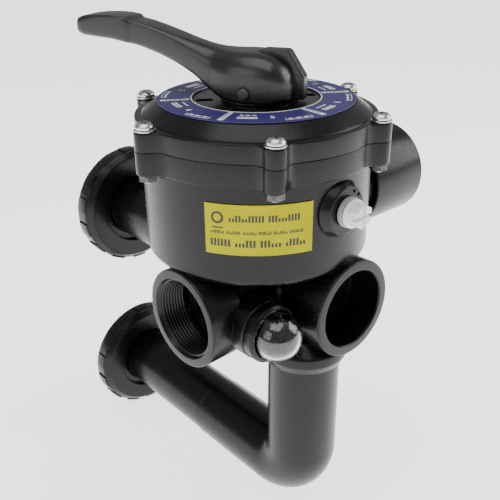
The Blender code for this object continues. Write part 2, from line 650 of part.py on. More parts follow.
def make_handle():
    pivot = bpy.data.objects.new("handle_pivot", None)
    bpy.context.scene.collection.objects.link(pivot)
    pivot.parent = FRAME
    pivot.location = (0.0, 0.0, PIN_Z * MM)
    bm = handle_loft()
    bmesh.ops.translate(bm, verts=bm.verts, vec=(0.0, 0.0, -PIN_Z * MM))
    handle = finish_object(from_bmesh("handle", bm), BLACK, parent=pivot)
    web = [(-31.5, HANDLE_BASE_Z), (-31.5, 138.0), (-21.5, 153.5), (0.0, 153.5), (0.0, HANDLE_BASE_Z)]
    turn = Matrix.Rotation(math.radians(HANDLE_DEG), 4, "Z") @ Matrix.Rotation(math.radians(90.0), 4, "X")
    join(handle, plate("handle_web", web, -4.2, 4.2, matrix=turn))
    cut(handle, block("stem_slot", (-13.0, -9.8, 100.0), (13.0, 9.8, 146.0), spin_deg=HANDLE_DEG))
    across = polar(1.0, HANDLE_DEG + 90.0)
    at = (0.0, 0.0, PIN_Z)
    cut(handle, rod("pin_hole", PIN_RADIUS + GAP, -40.0, 40.0, across, at, sides=TINY))
    shade(handle, 40.0)
    end = 1.0
    pin = [(0.0, PIN_HALF), (PIN_RADIUS - end, PIN_HALF), (PIN_RADIUS, PIN_HALF - end),
           (PIN_RADIUS, end - PIN_HALF), (PIN_RADIUS - end, -PIN_HALF), (0.0, -PIN_HALF)]
    turned("handle_pin", pin, BLACK, at, across, steps=TINY)
    low = LID_TOP_Z + GAP
    washer = [(22.0, low + 0.7), (22.0, low), (9.6, low), (9.6, low + 0.7)]
    turned("handle_washer", washer, LIGHT, ring=True)


# ---------------------------------------------------------------- sight glass and drain plug

def make_sight_glass():
    at = (SIGHT_X, 0.0, SIGHT_Z)
    back = -SIGHT_BOSS_Y + GAP
    flange_top = back + 2.6
    outer = SIGHT_DOME_RADIUS
    shoulder = 62.0
    tip = arc((0.0, shoulder), outer, 90.0, 0.0, 5)
    inner = arc((0.0, shoulder), outer - 2.2, 0.0, 90.0, 5)
    dome = tip + [(outer, flange_top), (17.3, flange_top), (17.3, back), (outer - 2.2, back)] + inner
    turned("sight_glass", dome, CLEAR, at, -Y_AXIS, steps=FINE)
    ring = [(17.6, 59.5), (19.0, 58.5), (19.0, back), (17.6, back), (17.6, flange_top + GAP),
            (outer + GAP, flange_top + GAP), (outer + GAP, 59.5)]
    turned("sight_glass_ring", ring, BLACK, at, -Y_AXIS, steps=FINE, ring=True)
    torus("sight_glass_o_ring", 14.9, 0.95, RUBBER, (SIGHT_X, SIGHT_BOSS_Y + 0.8, SIGHT_Z), -Y_AXIS)


def make_drain_plug():
    at = (0.0, 0.0, PLUG_Z)
    washer_low = -PLUG_BOSS_Y + GAP
    washer_high = washer_low + 3.2
    ring = [(12.0, washer_high), (12.0, washer_low), (9.6, washer_low), (9.6, washer_high)]
    turned("drain_plug_washer", ring, GREY, at, -Y_AXIS, steps=FINE, ring=True)
    low = washer_high + GAP
    shaft = [(0.0, low + 2.6), (11.6, low + 2.6), (11.6, low), (9.2, low), (9.2, 64.0), (0.0, 64.0)]
    plug = turned("drain_plug", shaft, WHITE, at, -Y_AXIS, steps=FINE)
    head = rod("plug_hex", 11.8, low + 2.0, low + 9.0, -Y_AXIS, at, sides=6)
    join(plug, head)
    for i, half in enumerate(((1.2, 7.0), (7.0, 1.2))):
        slot = block(f"plug_slot_{i}", (-half[0], -(low + 12.0), PLUG_Z - half[1]),
                     (half[0], -(low + 6.5), PLUG_Z + half[1]))
        cut(plug, slot)


# ---------------------------------------------------------------- assembly

clear_scene()
PARTS = new_collection("multiport_valve")
CUTTERS = new_collection("cutters")
FRAME = bpy.data.objects.new("design_frame", None)
bpy.context.scene.collection.objects.link(FRAME)
FRAME.location = (0.0, -UNION_FACE_Y * MM, -UPPER_NECK_Z * MM)

make_valve_body()
make_pump_socket()
make_return_pipework()
make_union("upper", UPPER_NECK_Z)
make_union("lower", LOWER_PIPE_Z)
make_lid()
make_labels()
make_fasteners()
make_spider_gasket()
make_rotor()
make_spring_stack()
make_handle()
make_sight_glass()
make_drain_plug()
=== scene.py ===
"""A side-mount multiport valve for a pool filter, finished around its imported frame."""

import json
import math
import random

import bmesh
import bpy
from mathutils import Matrix, Vector


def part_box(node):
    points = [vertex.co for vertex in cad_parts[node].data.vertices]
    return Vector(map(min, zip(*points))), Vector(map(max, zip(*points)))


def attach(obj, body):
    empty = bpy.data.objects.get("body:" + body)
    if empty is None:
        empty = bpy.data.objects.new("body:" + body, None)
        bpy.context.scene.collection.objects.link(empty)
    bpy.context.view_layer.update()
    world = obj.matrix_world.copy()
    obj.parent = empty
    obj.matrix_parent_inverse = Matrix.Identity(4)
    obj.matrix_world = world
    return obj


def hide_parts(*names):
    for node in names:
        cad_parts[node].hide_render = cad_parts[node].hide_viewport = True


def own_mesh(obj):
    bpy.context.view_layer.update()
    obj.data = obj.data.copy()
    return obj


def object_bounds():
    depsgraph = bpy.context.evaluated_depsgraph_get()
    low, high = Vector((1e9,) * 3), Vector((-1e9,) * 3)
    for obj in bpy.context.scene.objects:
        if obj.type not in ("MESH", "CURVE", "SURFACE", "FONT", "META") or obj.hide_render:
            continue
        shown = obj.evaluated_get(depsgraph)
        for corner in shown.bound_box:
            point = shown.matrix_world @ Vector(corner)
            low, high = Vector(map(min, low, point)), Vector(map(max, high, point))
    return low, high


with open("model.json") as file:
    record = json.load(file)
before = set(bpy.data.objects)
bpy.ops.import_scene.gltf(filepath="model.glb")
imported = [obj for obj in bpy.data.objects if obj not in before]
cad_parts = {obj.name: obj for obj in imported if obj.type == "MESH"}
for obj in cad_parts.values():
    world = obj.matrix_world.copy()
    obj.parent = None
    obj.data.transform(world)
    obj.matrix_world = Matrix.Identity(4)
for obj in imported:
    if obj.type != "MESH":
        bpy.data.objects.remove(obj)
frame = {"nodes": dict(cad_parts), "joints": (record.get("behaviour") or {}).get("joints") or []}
cad_box = [list(corner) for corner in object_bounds()]


# ---------------------------------------------------------------- valve body
# The body is one moulding in black ABS: a round bowl for the rotor, a scalloped bolting flange,
# a manifold below the bowl, and the hubs of the waste, return, pump and filter ports.
# Each port is a turned tube that grows out of the bowl; the waste port has a tapped bore.

MM = 0.001
TURN = 2.0 * math.pi
X_AXIS = Vector((1.0, 0.0, 0.0))
Y_AXIS = Vector((0.0, 1.0, 0.0))
Z_AXIS = Vector((0.0, 0.0, 1.0))

LID_TOP = 123.2
spin_joint = [joint for joint in frame["joints"] if joint["name"] == "rotor_spin"][0]
ROTOR_AXIS = Vector((0.0, spin_joint["pos_m"][1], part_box("lid")[1][2] - LID_TOP * MM))


def spot(x, y, z):
    """A place given in millimetres from the rotor axis at the height of the ports."""
    return ROTOR_AXIS + Vector((x, y, z)) * MM


def polar(radius, angle_deg, z=0.0):
    angle = math.radians(angle_deg)
    return Vector((radius * math.cos(angle), radius * math.sin(angle), z))


def arc(centre, radius, start_deg, end_deg, count):
    """Points of an arc in a plane, both ends included."""
    angles = [math.radians(start_deg + (end_deg - start_deg) * i / count) for i in range(count + 1)]
    return [Vector((centre[0] + radius * math.cos(a), centre[1] + radius * math.sin(a)))
            for a in angles]


def rounded(corners, closed=False, steps=5):
    """An outline of (x, y, corner radius) points with each corner turned into an arc."""
    outline = []
    last = len(corners) - 1
    for i, (x, y, radius) in enumerate(corners):
        here = Vector((x, y))
        if radius <= 0.0 or (not closed and i in (0, last)):
            outline.append(here)
            continue
        back = Vector(corners[i - 1][:2]) - here
        ahead = Vector(corners[0 if i == last else i + 1][:2]) - here
        half = back.angle(ahead) * 0.5
        reach = min(radius / math.tan(half), 0.48 * back.length, 0.48 * ahead.length)
        radius = reach * math.tan(half)
        middle = back.normalized() + ahead.normalized()
        centre = here + middle.normalized() * (radius / math.sin(half))
        first = here + back.normalized() * reach - centre
        final = here + ahead.normalized() * reach - centre
        start = math.atan2(first.y, first.x)
        sweep = (math.atan2(final.y, final.x) - start + math.pi) % TURN - math.pi
        outline += arc(centre, radius, math.degrees(start), math.degrees(start + sweep), steps)
    return outline


def set_down(bm, centre, axis=Z_AXIS):
    """Turn a shape from +Z onto an axis and move it to its place."""
    turn = Z_AXIS.rotation_difference(Vector(axis)).to_matrix().to_4x4()
    bmesh.ops.transform(bm, matrix=Matrix.Translation(centre) @ turn, verts=bm.verts)
    return bm


def skinned(rows, ring=False, caps=False):
    """A closed mesh through rows of points in metres; a row of one point is a pole."""
    bm = bmesh.new()
    loops = [[bm.verts.new(point) for point in row] for row in rows]
    pairs = list(zip(loops, loops[1:]))
    if ring:
        pairs.append((loops[-1], loops[0]))
    for one, two in pairs:
        count = max(len(one), len(two))
        for i in range(count):
            j = (i + 1) % count
            corners = (one[i % len(one)], one[j % len(one)], two[j % len(two)], two[i % len(two)])
            corners = list(dict.fromkeys(corners))
            if len(corners) > 2:
                bm.faces.new(corners)
    if caps:
        bm.faces.new(loops[0])
        bm.faces.new(loops[-1])
    bmesh.ops.recalc_face_normals(bm, faces=bm.faces)
    return bm


def turned(outline, centre, axis=Z_AXIS, sides=96, ring=False):
    """A shape turned from an outline of (radius, height) points in millimetres."""
    rows = []
    for radius, height in outline:
        if radius < 0.001:
            rows.append([(0.0, 0.0, height * MM)])
        else:
            rows.append([polar(radius, 360.0 * i / sides, height) * MM for i in range(sides)])
    return set_down(skinned(rows, ring), centre, axis)


def rod(radius, start, end, centre, axis=Z_AXIS, sides=96):
    return turned([(0.0, start), (radius, start), (radius, end), (0.0, end)], centre, axis, sides)


def block(low, high, turn_deg=0.0):
    """A box between two corners in millimetres, turned about the rotor axis."""
    bm = bmesh.new()
    bmesh.ops.create_cube(bm, size=MM)
    size = [b - a for a, b in zip(low, high)]
    middle = [(a + b) * 0.5 * MM for a, b in zip(low, high)]
    spin = Matrix.Rotation(math.radians(turn_deg), 4, "Z")
    place = Matrix.Translation(ROTOR_AXIS) @ spin @ Matrix.Translation(middle)
    bmesh.ops.transform(bm, matrix=place @ Matrix.Diagonal((*size, 1.0)), verts=bm.verts)
    return bm


def slab(outline, low, high, edge_low, edge_high, steps=4):
    """A flat outline made solid, with its lower and upper edges rounded; millimetres."""
    count = len(outline)
    outward = []
    for i in range(count):
        along = outline[(i + 1) % count] - outline[i - 1]
        outward.append(Vector((along.y, -along.x)).normalized())
    quarter = [0.5 * math.pi * k / steps for k in range(steps + 1)]
    levels = [(low + edge_low * (1.0 - math.cos(a)), edge_low * (1.0 - math.sin(a)))
              for a in (quarter if edge_low > 0.0 else quarter[:1])]
    levels += [(high - edge_high * (1.0 - math.cos(a)), edge_high * (1.0 - math.sin(a)))
               for a in reversed(quarter if edge_high > 0.0 else quarter[:1])]
    rows = [[(point - out * inset).to_3d() * MM + Z_AXIS * (height * MM)
             for point, out in zip(outline, outward)] for height, inset in levels]
    return skinned(rows, caps=True)


def as_object(name, bm):
    mesh = bpy.data.meshes.new(name)
    bm.to_mesh(mesh)
    bm.free()
    thing = bpy.data.objects.new(name, mesh)
    bpy.context.scene.collection.objects.link(thing)
    return thing


def settled(thing):
    """Keep what an object's modifiers make as its plain mesh."""
    bpy.context.view_layer.update()
    graph = bpy.context.evaluated_depsgraph_get()
    mesh = bpy.data.meshes.new_from_object(thing.evaluated_get(graph))
    thing.modifiers.clear()
    thing.data = mesh
    return thing


def carved(name, base, added=(), removed=()):
    """Join shapes to a solid, take others away, and keep the result as one mesh."""
    thing = as_object(name, base)
    tools = []
    for operation, shapes in (("UNION", added), ("DIFFERENCE", removed)):
        for shape in shapes:
            tools.append(as_object("tool", shape))
            step = thing.modifiers.new("carve", "BOOLEAN")
            step.operation = operation
            step.solver = "MANIFOLD"
            step.object = tools[-1]
    settled(thing)
    for tool in tools:
        bpy.data.objects.remove(tool, do_unlink=True)
    return thing


def dressed(thing, material, body, slot, *nodes, angle_deg=32.0):
    """Give a finished piece its material, its body and the frame nodes that it stands for."""
    thing.data.materials.clear()
    thing.data.materials.append(material)
    thing.data.shade_smooth()
    thing.data.set_sharp_from_angle(angle=math.radians(angle_deg))
    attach(thing, body)
    if nodes:
        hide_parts(*nodes)
    return thing


def linear(code):
    """A linear colour from an sRGB hex code."""
    parts = [int(code[i:i + 2], 16) / 255.0 for i in (1, 3, 5)]
    return (*[c / 12.92 if c <= 0.04045 else ((c + 0.055) / 1.055) ** 2.4 for c in parts], 1.0)


def add(tree, kind, links=None, values=None, **settings):
    """Add a node with its settings, its input values and the sources of its inputs."""
    node = tree.nodes.new(kind)
    for key, value in settings.items():
        setattr(node, key, value)
    for key, value in (values or {}).items():
        node.inputs[key].default_value = value
    for key, source in (links or {}).items():
        tree.links.new(source, node.inputs[key])
    return node


def new_material(name, **values):
    """A material with constant values on its shader's own sockets."""
    material = bpy.data.materials.new(name)
    material.use_nodes = True
    shader = material.node_tree.nodes["Principled BSDF"]
    for key, value in values.items():
        shader.inputs[key.replace("_", " ")].default_value = value
    return material, material.node_tree, shader


def blended(tree, factor, dark, light):
    """A colour between two hex codes, by a factor that mostly lies between 0.3 and 0.7."""
    ramp = add(tree, "ShaderNodeValToRGB", {"Fac": factor})
    ramp.color_ramp.elements[0].position = 0.3
    ramp.color_ramp.elements[0].color = linear(dark)
    ramp.color_ramp.elements[1].position = 0.7
    ramp.color_ramp.elements[1].color = linear(light)
    return ramp.outputs["Color"]


def moulded(name, dark, light, gloss, grain_mm=0.5, relief_mm=0.012, edge_mm=0.6, **values):
    """Injection-moulded plastic: faint flow mottling, eroded tool grain and softened edges."""
    material, tree, shader = new_material(name, **values)
    place = add(tree, "ShaderNodeTexCoord").outputs["Object"]
    cloud = add(tree, "ShaderNodeTexNoise", {"Vector": place}, {"Scale": 1.0 / (14.0 * MM), "Detail": 3.0})
    speck = add(tree, "ShaderNodeTexNoise", {"Vector": place}, {"Scale": 1.0 / (2.0 * MM), "Detail": 4.0})
    grain = add(tree, "ShaderNodeTexNoise", {"Vector": place},
                {"Scale": 1.0 / (grain_mm * MM), "Detail": 2.0})
    sheen = add(tree, "ShaderNodeMapRange", {"Value": speck.outputs["Fac"]},
                {"From Min": 0.3, "From Max": 0.7, "To Min": gloss - 0.05, "To Max": gloss + 0.07})
    soft = add(tree, "ShaderNodeBevel", values={"Radius": edge_mm * MM}, samples=4)
    wave = add(tree, "ShaderNodeBump", {"Height": cloud.outputs["Fac"], "Normal": soft.outputs["Normal"]},
               {"Strength": 0.15, "Distance": 0.2 * MM})
    skin = add(tree, "ShaderNodeBump", {"Height": grain.outputs["Fac"], "Normal": wave.outputs["Normal"]},
               {"Strength": 0.08, "Distance": relief_mm * MM})
    tree.links.new(blended(tree, cloud.outputs["Fac"], dark, light), shader.inputs["Base Color"])
    tree.links.new(sheen.outputs["Result"], shader.inputs["Roughness"])
    tree.links.new(skin.outputs["Normal"], shader.inputs["Normal"])
    return material


# ABS coloured black in the mass: nearly black, with a satin face off a polished steel tool.
black_abs = moulded("black moulded ABS", "#060607", "#0b0b0c", 0.27, Specular_IOR_Level=0.3, IOR=1.48)

SEAM = 105.0
SEAM_HALF_GAP = 0.08
FLANGE_LOW = 90.8
FLANGE_HIGH = 116.2
FLANGE_REACH = 75.2
SCREW_CIRCLE = 78.5
SCREW_FIRST_DEG = -124.9
SCREW_COUNT = 6
BOSS = 6.5
SCALLOP = 9.5
screw_angles = [SCREW_FIRST_DEG + 360.0 * i / SCREW_COUNT for i in range(SCREW_COUNT)]


def scalloped_outline():
    """The flange from above: a round rim that swells into six screw bosses."""
    ring = FLANGE_REACH + SCALLOP
    reach = BOSS + SCALLOP
    spread = math.degrees(math.acos((SCREW_CIRCLE ** 2 + ring ** 2 - reach ** 2)
                                    / (2.0 * SCREW_CIRCLE * ring)))
    points = []
    for middle in screw_angles:
        boss = polar(SCREW_CIRCLE, middle).to_2d()
        for side in (-1.0, 1.0):
            hollow = polar(ring, middle + side * spread).to_2d()
            start = math.degrees(math.atan2(-hollow.y, -hollow.x))
            end = math.degrees(math.atan2(boss.y - hollow.y, boss.x - hollow.x))
            sweep = (end - start + 180.0) % 360.0 - 180.0
            curve = arc(hollow, SCALLOP, start, start + sweep, 10)
            if side > 0.0:
                curve.reverse()
                first = math.degrees(math.atan2(points[-1].y - boss.y, points[-1].x - boss.x))
                half = abs((first - middle + 180.0) % 360.0 - 180.0)
                points += arc(boss, BOSS, middle - half, middle + half, 20)[1:-1]
            points += curve
        points += arc((0.0, 0.0), FLANGE_REACH, middle + spread,
                      middle + 360.0 / SCREW_COUNT - spread, 20)[1:-1]
    return points


HUB = 32.4
HUB_TUBE = 29.5
PORT_BORE = 24.5
PASSAGE = 20.0
WASTE_PORT = spot(-73.2, -10.5, -1.0)
RETURN_PORT = spot(11.9, -76.9, 1.0)
PIPE = 24.0
DOWN_PIPE_Y = -46.3
PUMP_Z = 48.5
PUMP_NECK = 30.0
UPPER_NECK_Z = 7.5
SIGHT_GLASS = spot(-40.0, -52.0, -3.5)
PLUG_Z = 71.0
PLUG_HOLE = 6.8
SCREW_HOLE = 3.4
CHAMBER_FLOOR = 30.0


def hub(centre, axis, length, depth):
    """A port hub: a stout turned collar with a rounded face on a narrower tube."""
    outline = rounded([(0.0, 0.0, 0.0), (HUB, 0.0, 1.3), (HUB, -length, 2.2), (HUB_TUBE, -length, 1.2),
                       (HUB_TUBE, -depth, 0.0), (0.0, -depth, 0.0)])
    return turned(outline, centre, axis)


def hub_part_line(centre, axis, length):
    """The fine raised line that the tool's sliding core leaves behind a hub."""
    line = [(HUB_TUBE - 1.0, -length - 5.0), (HUB_TUBE + 0.25, -length - 5.0),
            (HUB_TUBE + 0.25, -length - 5.5), (HUB_TUBE - 1.0, -length - 5.5)]
    return turned(line, centre, axis, ring=True)


def thread_cutter(bore, centre, axis, depth, pitch=2.2, height=1.1, sides=72):
    """The tapered pipe thread that the waste port is tapped with, as the shape to take away."""
    rows = [[(0.0, 0.0, 2.0 * MM)]]
    steps = int(round((depth + 2.0) / pitch * 6))
    for k in range(steps + 1):
        z = 2.0 - k * pitch / 6.0
        row = []
        for i in range(sides):
            phase = (z / pitch - i / sides) % 1.0
            tooth = height * (1.0 - abs(2.0 * phase - 1.0)) * min(1.0, (steps - k) / 6.0)
            row.append(polar(bore - height + tooth + 0.03 * z, 360.0 * i / sides, z) * MM)
        rows.append(row)
    rows.append([(0.0, 0.0, rows[-1][0][2])])
    return set_down(skinned(rows), centre, axis)


def make_valve_body():
    bowl = rounded([(0.0, 104.0, 0.0), (72.3, 104.0, 0.0), (72.3, 29.4, 5.0), (50.5, 23.8, 6.0),
                    (47.2, 14.0, 8.0), (47.0, 3.0, 8.0), (43.0, -4.0, 8.0), (38.0, -27.0, 5.0),
                    (0.0, -27.0, 0.0)], steps=10)
    flange = set_down(slab(scalloped_outline(), FLANGE_LOW, SEAM - SEAM_HALF_GAP, 0.9, 0.25), ROTOR_AXIS)
    collar = rounded([(0.0, -21.0, 0.0), (20.0, -21.0, 0.0), (29.0, -28.5, 3.0), (29.0, -35.0, 3.5),
                      (26.2, -41.0, 1.2), (0.0, -41.0, 0.0)])
    sight_boss = rounded([(0.0, 0.0, 0.0), (19.5, 0.0, 1.0), (19.5, -40.0, 0.0), (0.0, -40.0, 0.0)])
    plug_boss = rounded([(0.0, 77.0, 0.0), (14.4, 77.0, 1.2), (17.5, 72.0, 1.5), (17.5, 50.0, 0.0),
                         (0.0, 50.0, 0.0)])
    grown = [flange, hub(WASTE_PORT, -X_AXIS, 25.2, 68.2), hub(RETURN_PORT, -Y_AXIS, 26.4, 68.9),
             hub_part_line(WASTE_PORT, -X_AXIS, 25.2), hub_part_line(RETURN_PORT, -Y_AXIS, 26.4),
             turned(collar, spot(0.0, DOWN_PIPE_Y, 0.0)),
             turned(sight_boss, SIGHT_GLASS, -Y_AXIS, 64),
             rod(PIPE, 20.0, 155.6, spot(0.0, 0.0, UPPER_NECK_Z), Y_AXIS),
             rod(PUMP_NECK, 40.0, 98.0, spot(0.0, 0.0, PUMP_Z), X_AXIS),
             turned(plug_boss, spot(0.0, 0.0, PLUG_Z), -Y_AXIS, 64)]
    mouth = rounded([(0.0, 3.0, 0.0), (28.6, 3.0, 0.0), (25.4, -2.4, 0.0), (0.0, -2.4, 0.0)])
    pin_gates = [rod(1.1, 70.0, 90.0, spot(dx, 0.0, PLUG_Z + dz), -Y_AXIS, 16)
                 for dx, dz in ((5.4, 11.0), (9.4, 8.0))]
    hollows = [
        rod(67.3, CHAMBER_FLOOR, 110.0, ROTOR_AXIS),
        rod(25.0, 45.0, 110.0, spot(0.0, 0.0, PUMP_Z), X_AXIS),
        turned(mouth, WASTE_PORT, -X_AXIS),
        thread_cutter(PORT_BORE + 0.9, WASTE_PORT, -X_AXIS, 21.0),
        rod(PORT_BORE - 0.6, -25.2, -18.0, WASTE_PORT, -X_AXIS),
        rod(PASSAGE, -42.2, -23.0, WASTE_PORT, -X_AXIS),
        block((-50.0, -18.0, 0.0), (-34.0, -2.0, CHAMBER_FLOOR + 1.0)),
        turned(rounded([(0.0, 3.0, 0.0), (28.4, 3.0, 0.0), (25.5, -0.9, 0.8), (25.5, -24.9, 0.0),
                        (0.0, -24.9, 0.0)]), RETURN_PORT, -Y_AXIS),
        block((2.0, -60.0, 2.0), (22.0, -53.0, CHAMBER_FLOOR + 1.0)),
        rod(PASSAGE, -60.0, -29.0, spot(0.0, DOWN_PIPE_Y, 0.0)),
        rod(PIPE + 0.3, -60.0, -33.0, spot(0.0, DOWN_PIPE_Y, 0.0)),
        block((-10.0, -38.0, -30.0), (10.0, -27.0, CHAMBER_FLOOR + 1.0)),
        rod(PASSAGE, 22.0, 170.0, spot(0.0, 0.0, UPPER_NECK_Z), Y_AXIS),
        block((-13.0, 24.0, UPPER_NECK_Z), (13.0, 46.0, CHAMBER_FLOOR + 1.0)),
        rod(11.0, -38.0, 8.0, SIGHT_GLASS, -Y_AXIS, 48),
        rod(PLUG_HOLE, 40.0, 90.0, spot(0.0, 0.0, PLUG_Z), -Y_AXIS, 48),
        turned([(16.6, 1.0), (16.6, -1.9), (13.2, -1.9), (13.2, 1.0)], SIGHT_GLASS, -Y_AXIS, 64, True),
        turned([(72.6, 107.0), (72.6, 101.8), (69.2, 101.8), (69.2, 107.0)], ROTOR_AXIS, ring=True)]
    hollows += [rod(SCREW_HOLE, 85.0, 110.0, ROTOR_AXIS + polar(SCREW_CIRCLE, a) * MM, sides=24)
                for a in screw_angles]
    return carved("valve_body_shell", turned(bowl, ROTOR_AXIS, sides=144), grown, hollows + pin_gates)


dressed(make_valve_body(), black_abs, "valve_body", "black_plastic", "valve_body")


# ---------------------------------------------------------------- pump socket
# A plain ABS coupling is solvent-welded over the pump neck; the pump's pipe is glued into it.
# Its outside is turned smooth, with a small round at each end and a stop ring inside.

socket_outline = rounded([(34.2, 135.4, 1.4), (34.2, 84.3, 1.4), (30.3, 84.3, 0.5), (30.3, 98.3, 0.0),
                          (25.5, 98.3, 0.5), (25.5, 101.3, 0.5), (30.3, 101.3, 0.0), (30.3, 135.4, 1.0)],
                         closed=True)
pump_coupling = as_object("pump_coupling",
                          turned(socket_outline, spot(0.0, 0.0, PUMP_Z), X_AXIS, ring=True))
dressed(pump_coupling, black_abs, "valve_body", "black_plastic", "pump_socket")


# ---------------------------------------------------------------- return elbow and pipe
# Black ABS pipe glued into the collar below the return hub turns through a sweep elbow and runs
# back beside the neck. A small step shows where the elbow and the straight pipe meet.

LOWER_PIPE_Z = -141.3
BEND = 25.5
PIPE_BORE = 20.0
PIPE_JOINT_Y = 46.0
TAIL_BACK_Y = 150.6


def bent_tube(radius, bore, start_z, end_y, sides=96, bend_steps=28):
    """A tube that runs down, round the bend and along +Y, with flat ends."""
    corner = Vector((DOWN_PIPE_Y + BEND, LOWER_PIPE_Z + BEND))
    path = [(Vector((0.0, DOWN_PIPE_Y, start_z)), -Z_AXIS)]
    for k in range(bend_steps + 1):
        angle = math.pi * (1.0 + 0.5 * k / bend_steps)
        out = Vector((0.0, math.cos(angle), math.sin(angle)))
        path.append((Vector((0.0, *corner)) + out * BEND, Vector((0.0, -out.z, out.y))))
    path.append((Vector((0.0, end_y, LOWER_PIPE_Z)), Y_AXIS))
    rows = []
    for size in (radius, bore):
        for place, along in (path if size == radius else path[::-1]):
            side = along.cross(X_AXIS)
            rows.append([ROTOR_AXIS + (place + X_AXIS * (size * math.cos(TURN * i / sides))
                                       + side * (size * math.sin(TURN * i / sides))) * MM
                         for i in range(sides)])
    return skinned(rows, ring=True)


elbow = as_object("sweep_elbow", bent_tube(PIPE, PIPE_BORE, -33.3, PIPE_JOINT_Y))
dressed(elbow, black_abs, "valve_body", "black_plastic", "return_elbow", angle_deg=50.0)
pipe_outline = rounded([(23.4, 156.0, 0.0), (23.4, 47.4, 0.6), (22.9, 46.3, 0.0), (20.0, 46.3, 0.0),
                        (20.0, 156.0, 0.0)], closed=True)
straight_pipe = as_object("straight_pipe",
                          turned(pipe_outline, spot(0.0, 0.0, LOWER_PIPE_Z), Y_AXIS, ring=True))
dressed(straight_pipe, black_abs, "valve_body", "black_plastic", "return_pipe")


# ---------------------------------------------------------------- unions
# Each pipe ends in a glued, flanged tailpiece that an O-ring seals against the filter's stub.
# The nut over it is a thick ABS ring with a bevelled near edge and rectangular grip pads.

UNION_FACE_Y = 158.6
NUT_NEAR_Y = 146.5
NUT_FAR_Y = 162.9
NUT_REACH = 47.8
NUT_HOLE = 29.5
GRIP_PADS = 14


def node_tree(name, **sockets):
    """A Geometry Nodes tree with named inputs; a socket is given by its kind."""
    tree = bpy.data.node_groups.new(name, "GeometryNodeTree")
    tree.interface.new_socket("Geometry", in_out="INPUT", socket_type="NodeSocketGeometry")
    for key, kind in sockets.items():
        tree.interface.new_socket(key.replace("_", " "), in_out="INPUT", socket_type="NodeSocket" + kind)
    tree.interface.new_socket("Geometry", in_out="OUTPUT", socket_type="NodeSocketGeometry")
    return tree, tree.nodes.new("NodeGroupInput"), tree.nodes.new("NodeGroupOutput")


def ring_tree():
    """Copies of a piece, evenly round the Z axis, then turned and moved to their place."""
    tree, given, out = node_tree("pieces round an axis", Piece="Object", Count="Int", First_angle="Float",
                                 Place="Vector", Turn="Rotation", Finish="Material")
    piece = add(tree, "GeometryNodeObjectInfo", {"Object": given.outputs["Piece"]}, {"As Instance": True})
    line = add(tree, "GeometryNodeMeshLine", {"Count": given.outputs["Count"]}, {"Offset": (0.0, 0.0, 0.0)})
    index = add(tree, "GeometryNodeInputIndex")
    step = add(tree, "ShaderNodeMath", {1: given.outputs["Count"]}, {0: TURN}, operation="DIVIDE")
    angle = add(tree, "ShaderNodeMath", {0: index.outputs[0], 1: step.outputs[0],
                                         2: given.outputs["First angle"]}, operation="MULTIPLY_ADD")
    spin = add(tree, "ShaderNodeCombineXYZ", {"Z": angle.outputs[0]})
    turn = add(tree, "FunctionNodeEulerToRotation", {"Euler": spin.outputs[0]})
    copies = add(tree, "GeometryNodeInstanceOnPoints", {
        "Points": line.outputs["Mesh"], "Instance": piece.outputs["Geometry"], "Rotation": turn.outputs[0]})
    placed = add(tree, "GeometryNodeTransform", {
        "Geometry": copies.outputs[0], "Translation": given.outputs["Place"],
        "Rotation": given.outputs["Turn"]})
    real = add(tree, "GeometryNodeRealizeInstances", {"Geometry": placed.outputs[0]})
    finish = add(tree, "GeometryNodeSetMaterial", {
        "Geometry": real.outputs[0], "Material": given.outputs["Finish"]})
    tree.links.new(finish.outputs[0], out.inputs["Geometry"])
    return tree


pieces_round_axis = ring_tree()


def round_axis(name, shape, count, first_deg, centre, axis, material):
    """Repeat a shape, modelled in place about the Z axis, round an axis through centre."""
    source = as_object("source", shape)
    thing = as_object(name, bmesh.new())
    step = thing.modifiers.new("round", "NODES")
    step.node_group = pieces_round_axis
    given = {"Piece": source, "Count": count, "First angle": math.radians(first_deg), "Place": centre,
             "Turn": Z_AXIS.rotation_difference(Vector(axis)).to_euler(), "Finish": material}
    for item in pieces_round_axis.interface.items_tree:
        if item.in_out == "INPUT" and item.name in given:
            step[item.identifier] = given[item.name]
    settled(thing)
    bpy.data.objects.remove(source, do_unlink=True)
    return thing


def grip_pad():
    """One raised pad of the nut, on the +X side, with its edges rounded."""
    half_deg = 360.0 / GRIP_PADS * 0.27
    outer = arc((0.0, 0.0), NUT_REACH - 1.0, half_deg, -half_deg, 6)
    rows = []
    for height, sink in ((4.2, 1.6), (4.7, 0.5), (5.6, 0.0), (14.4, 0.0), (15.0, 0.4), (15.4, 1.4)):
        top = [point * ((NUT_REACH - sink * 0.5) / (NUT_REACH - 1.0)) for point in outer]
        ends = [point * ((NUT_REACH - 4.0) / (NUT_REACH - 1.0)) for point in (outer[-1], outer[0])]
        rows.append([Vector((p.x, p.y, height)) * MM for p in top + ends])
    return skinned(rows, caps=True)


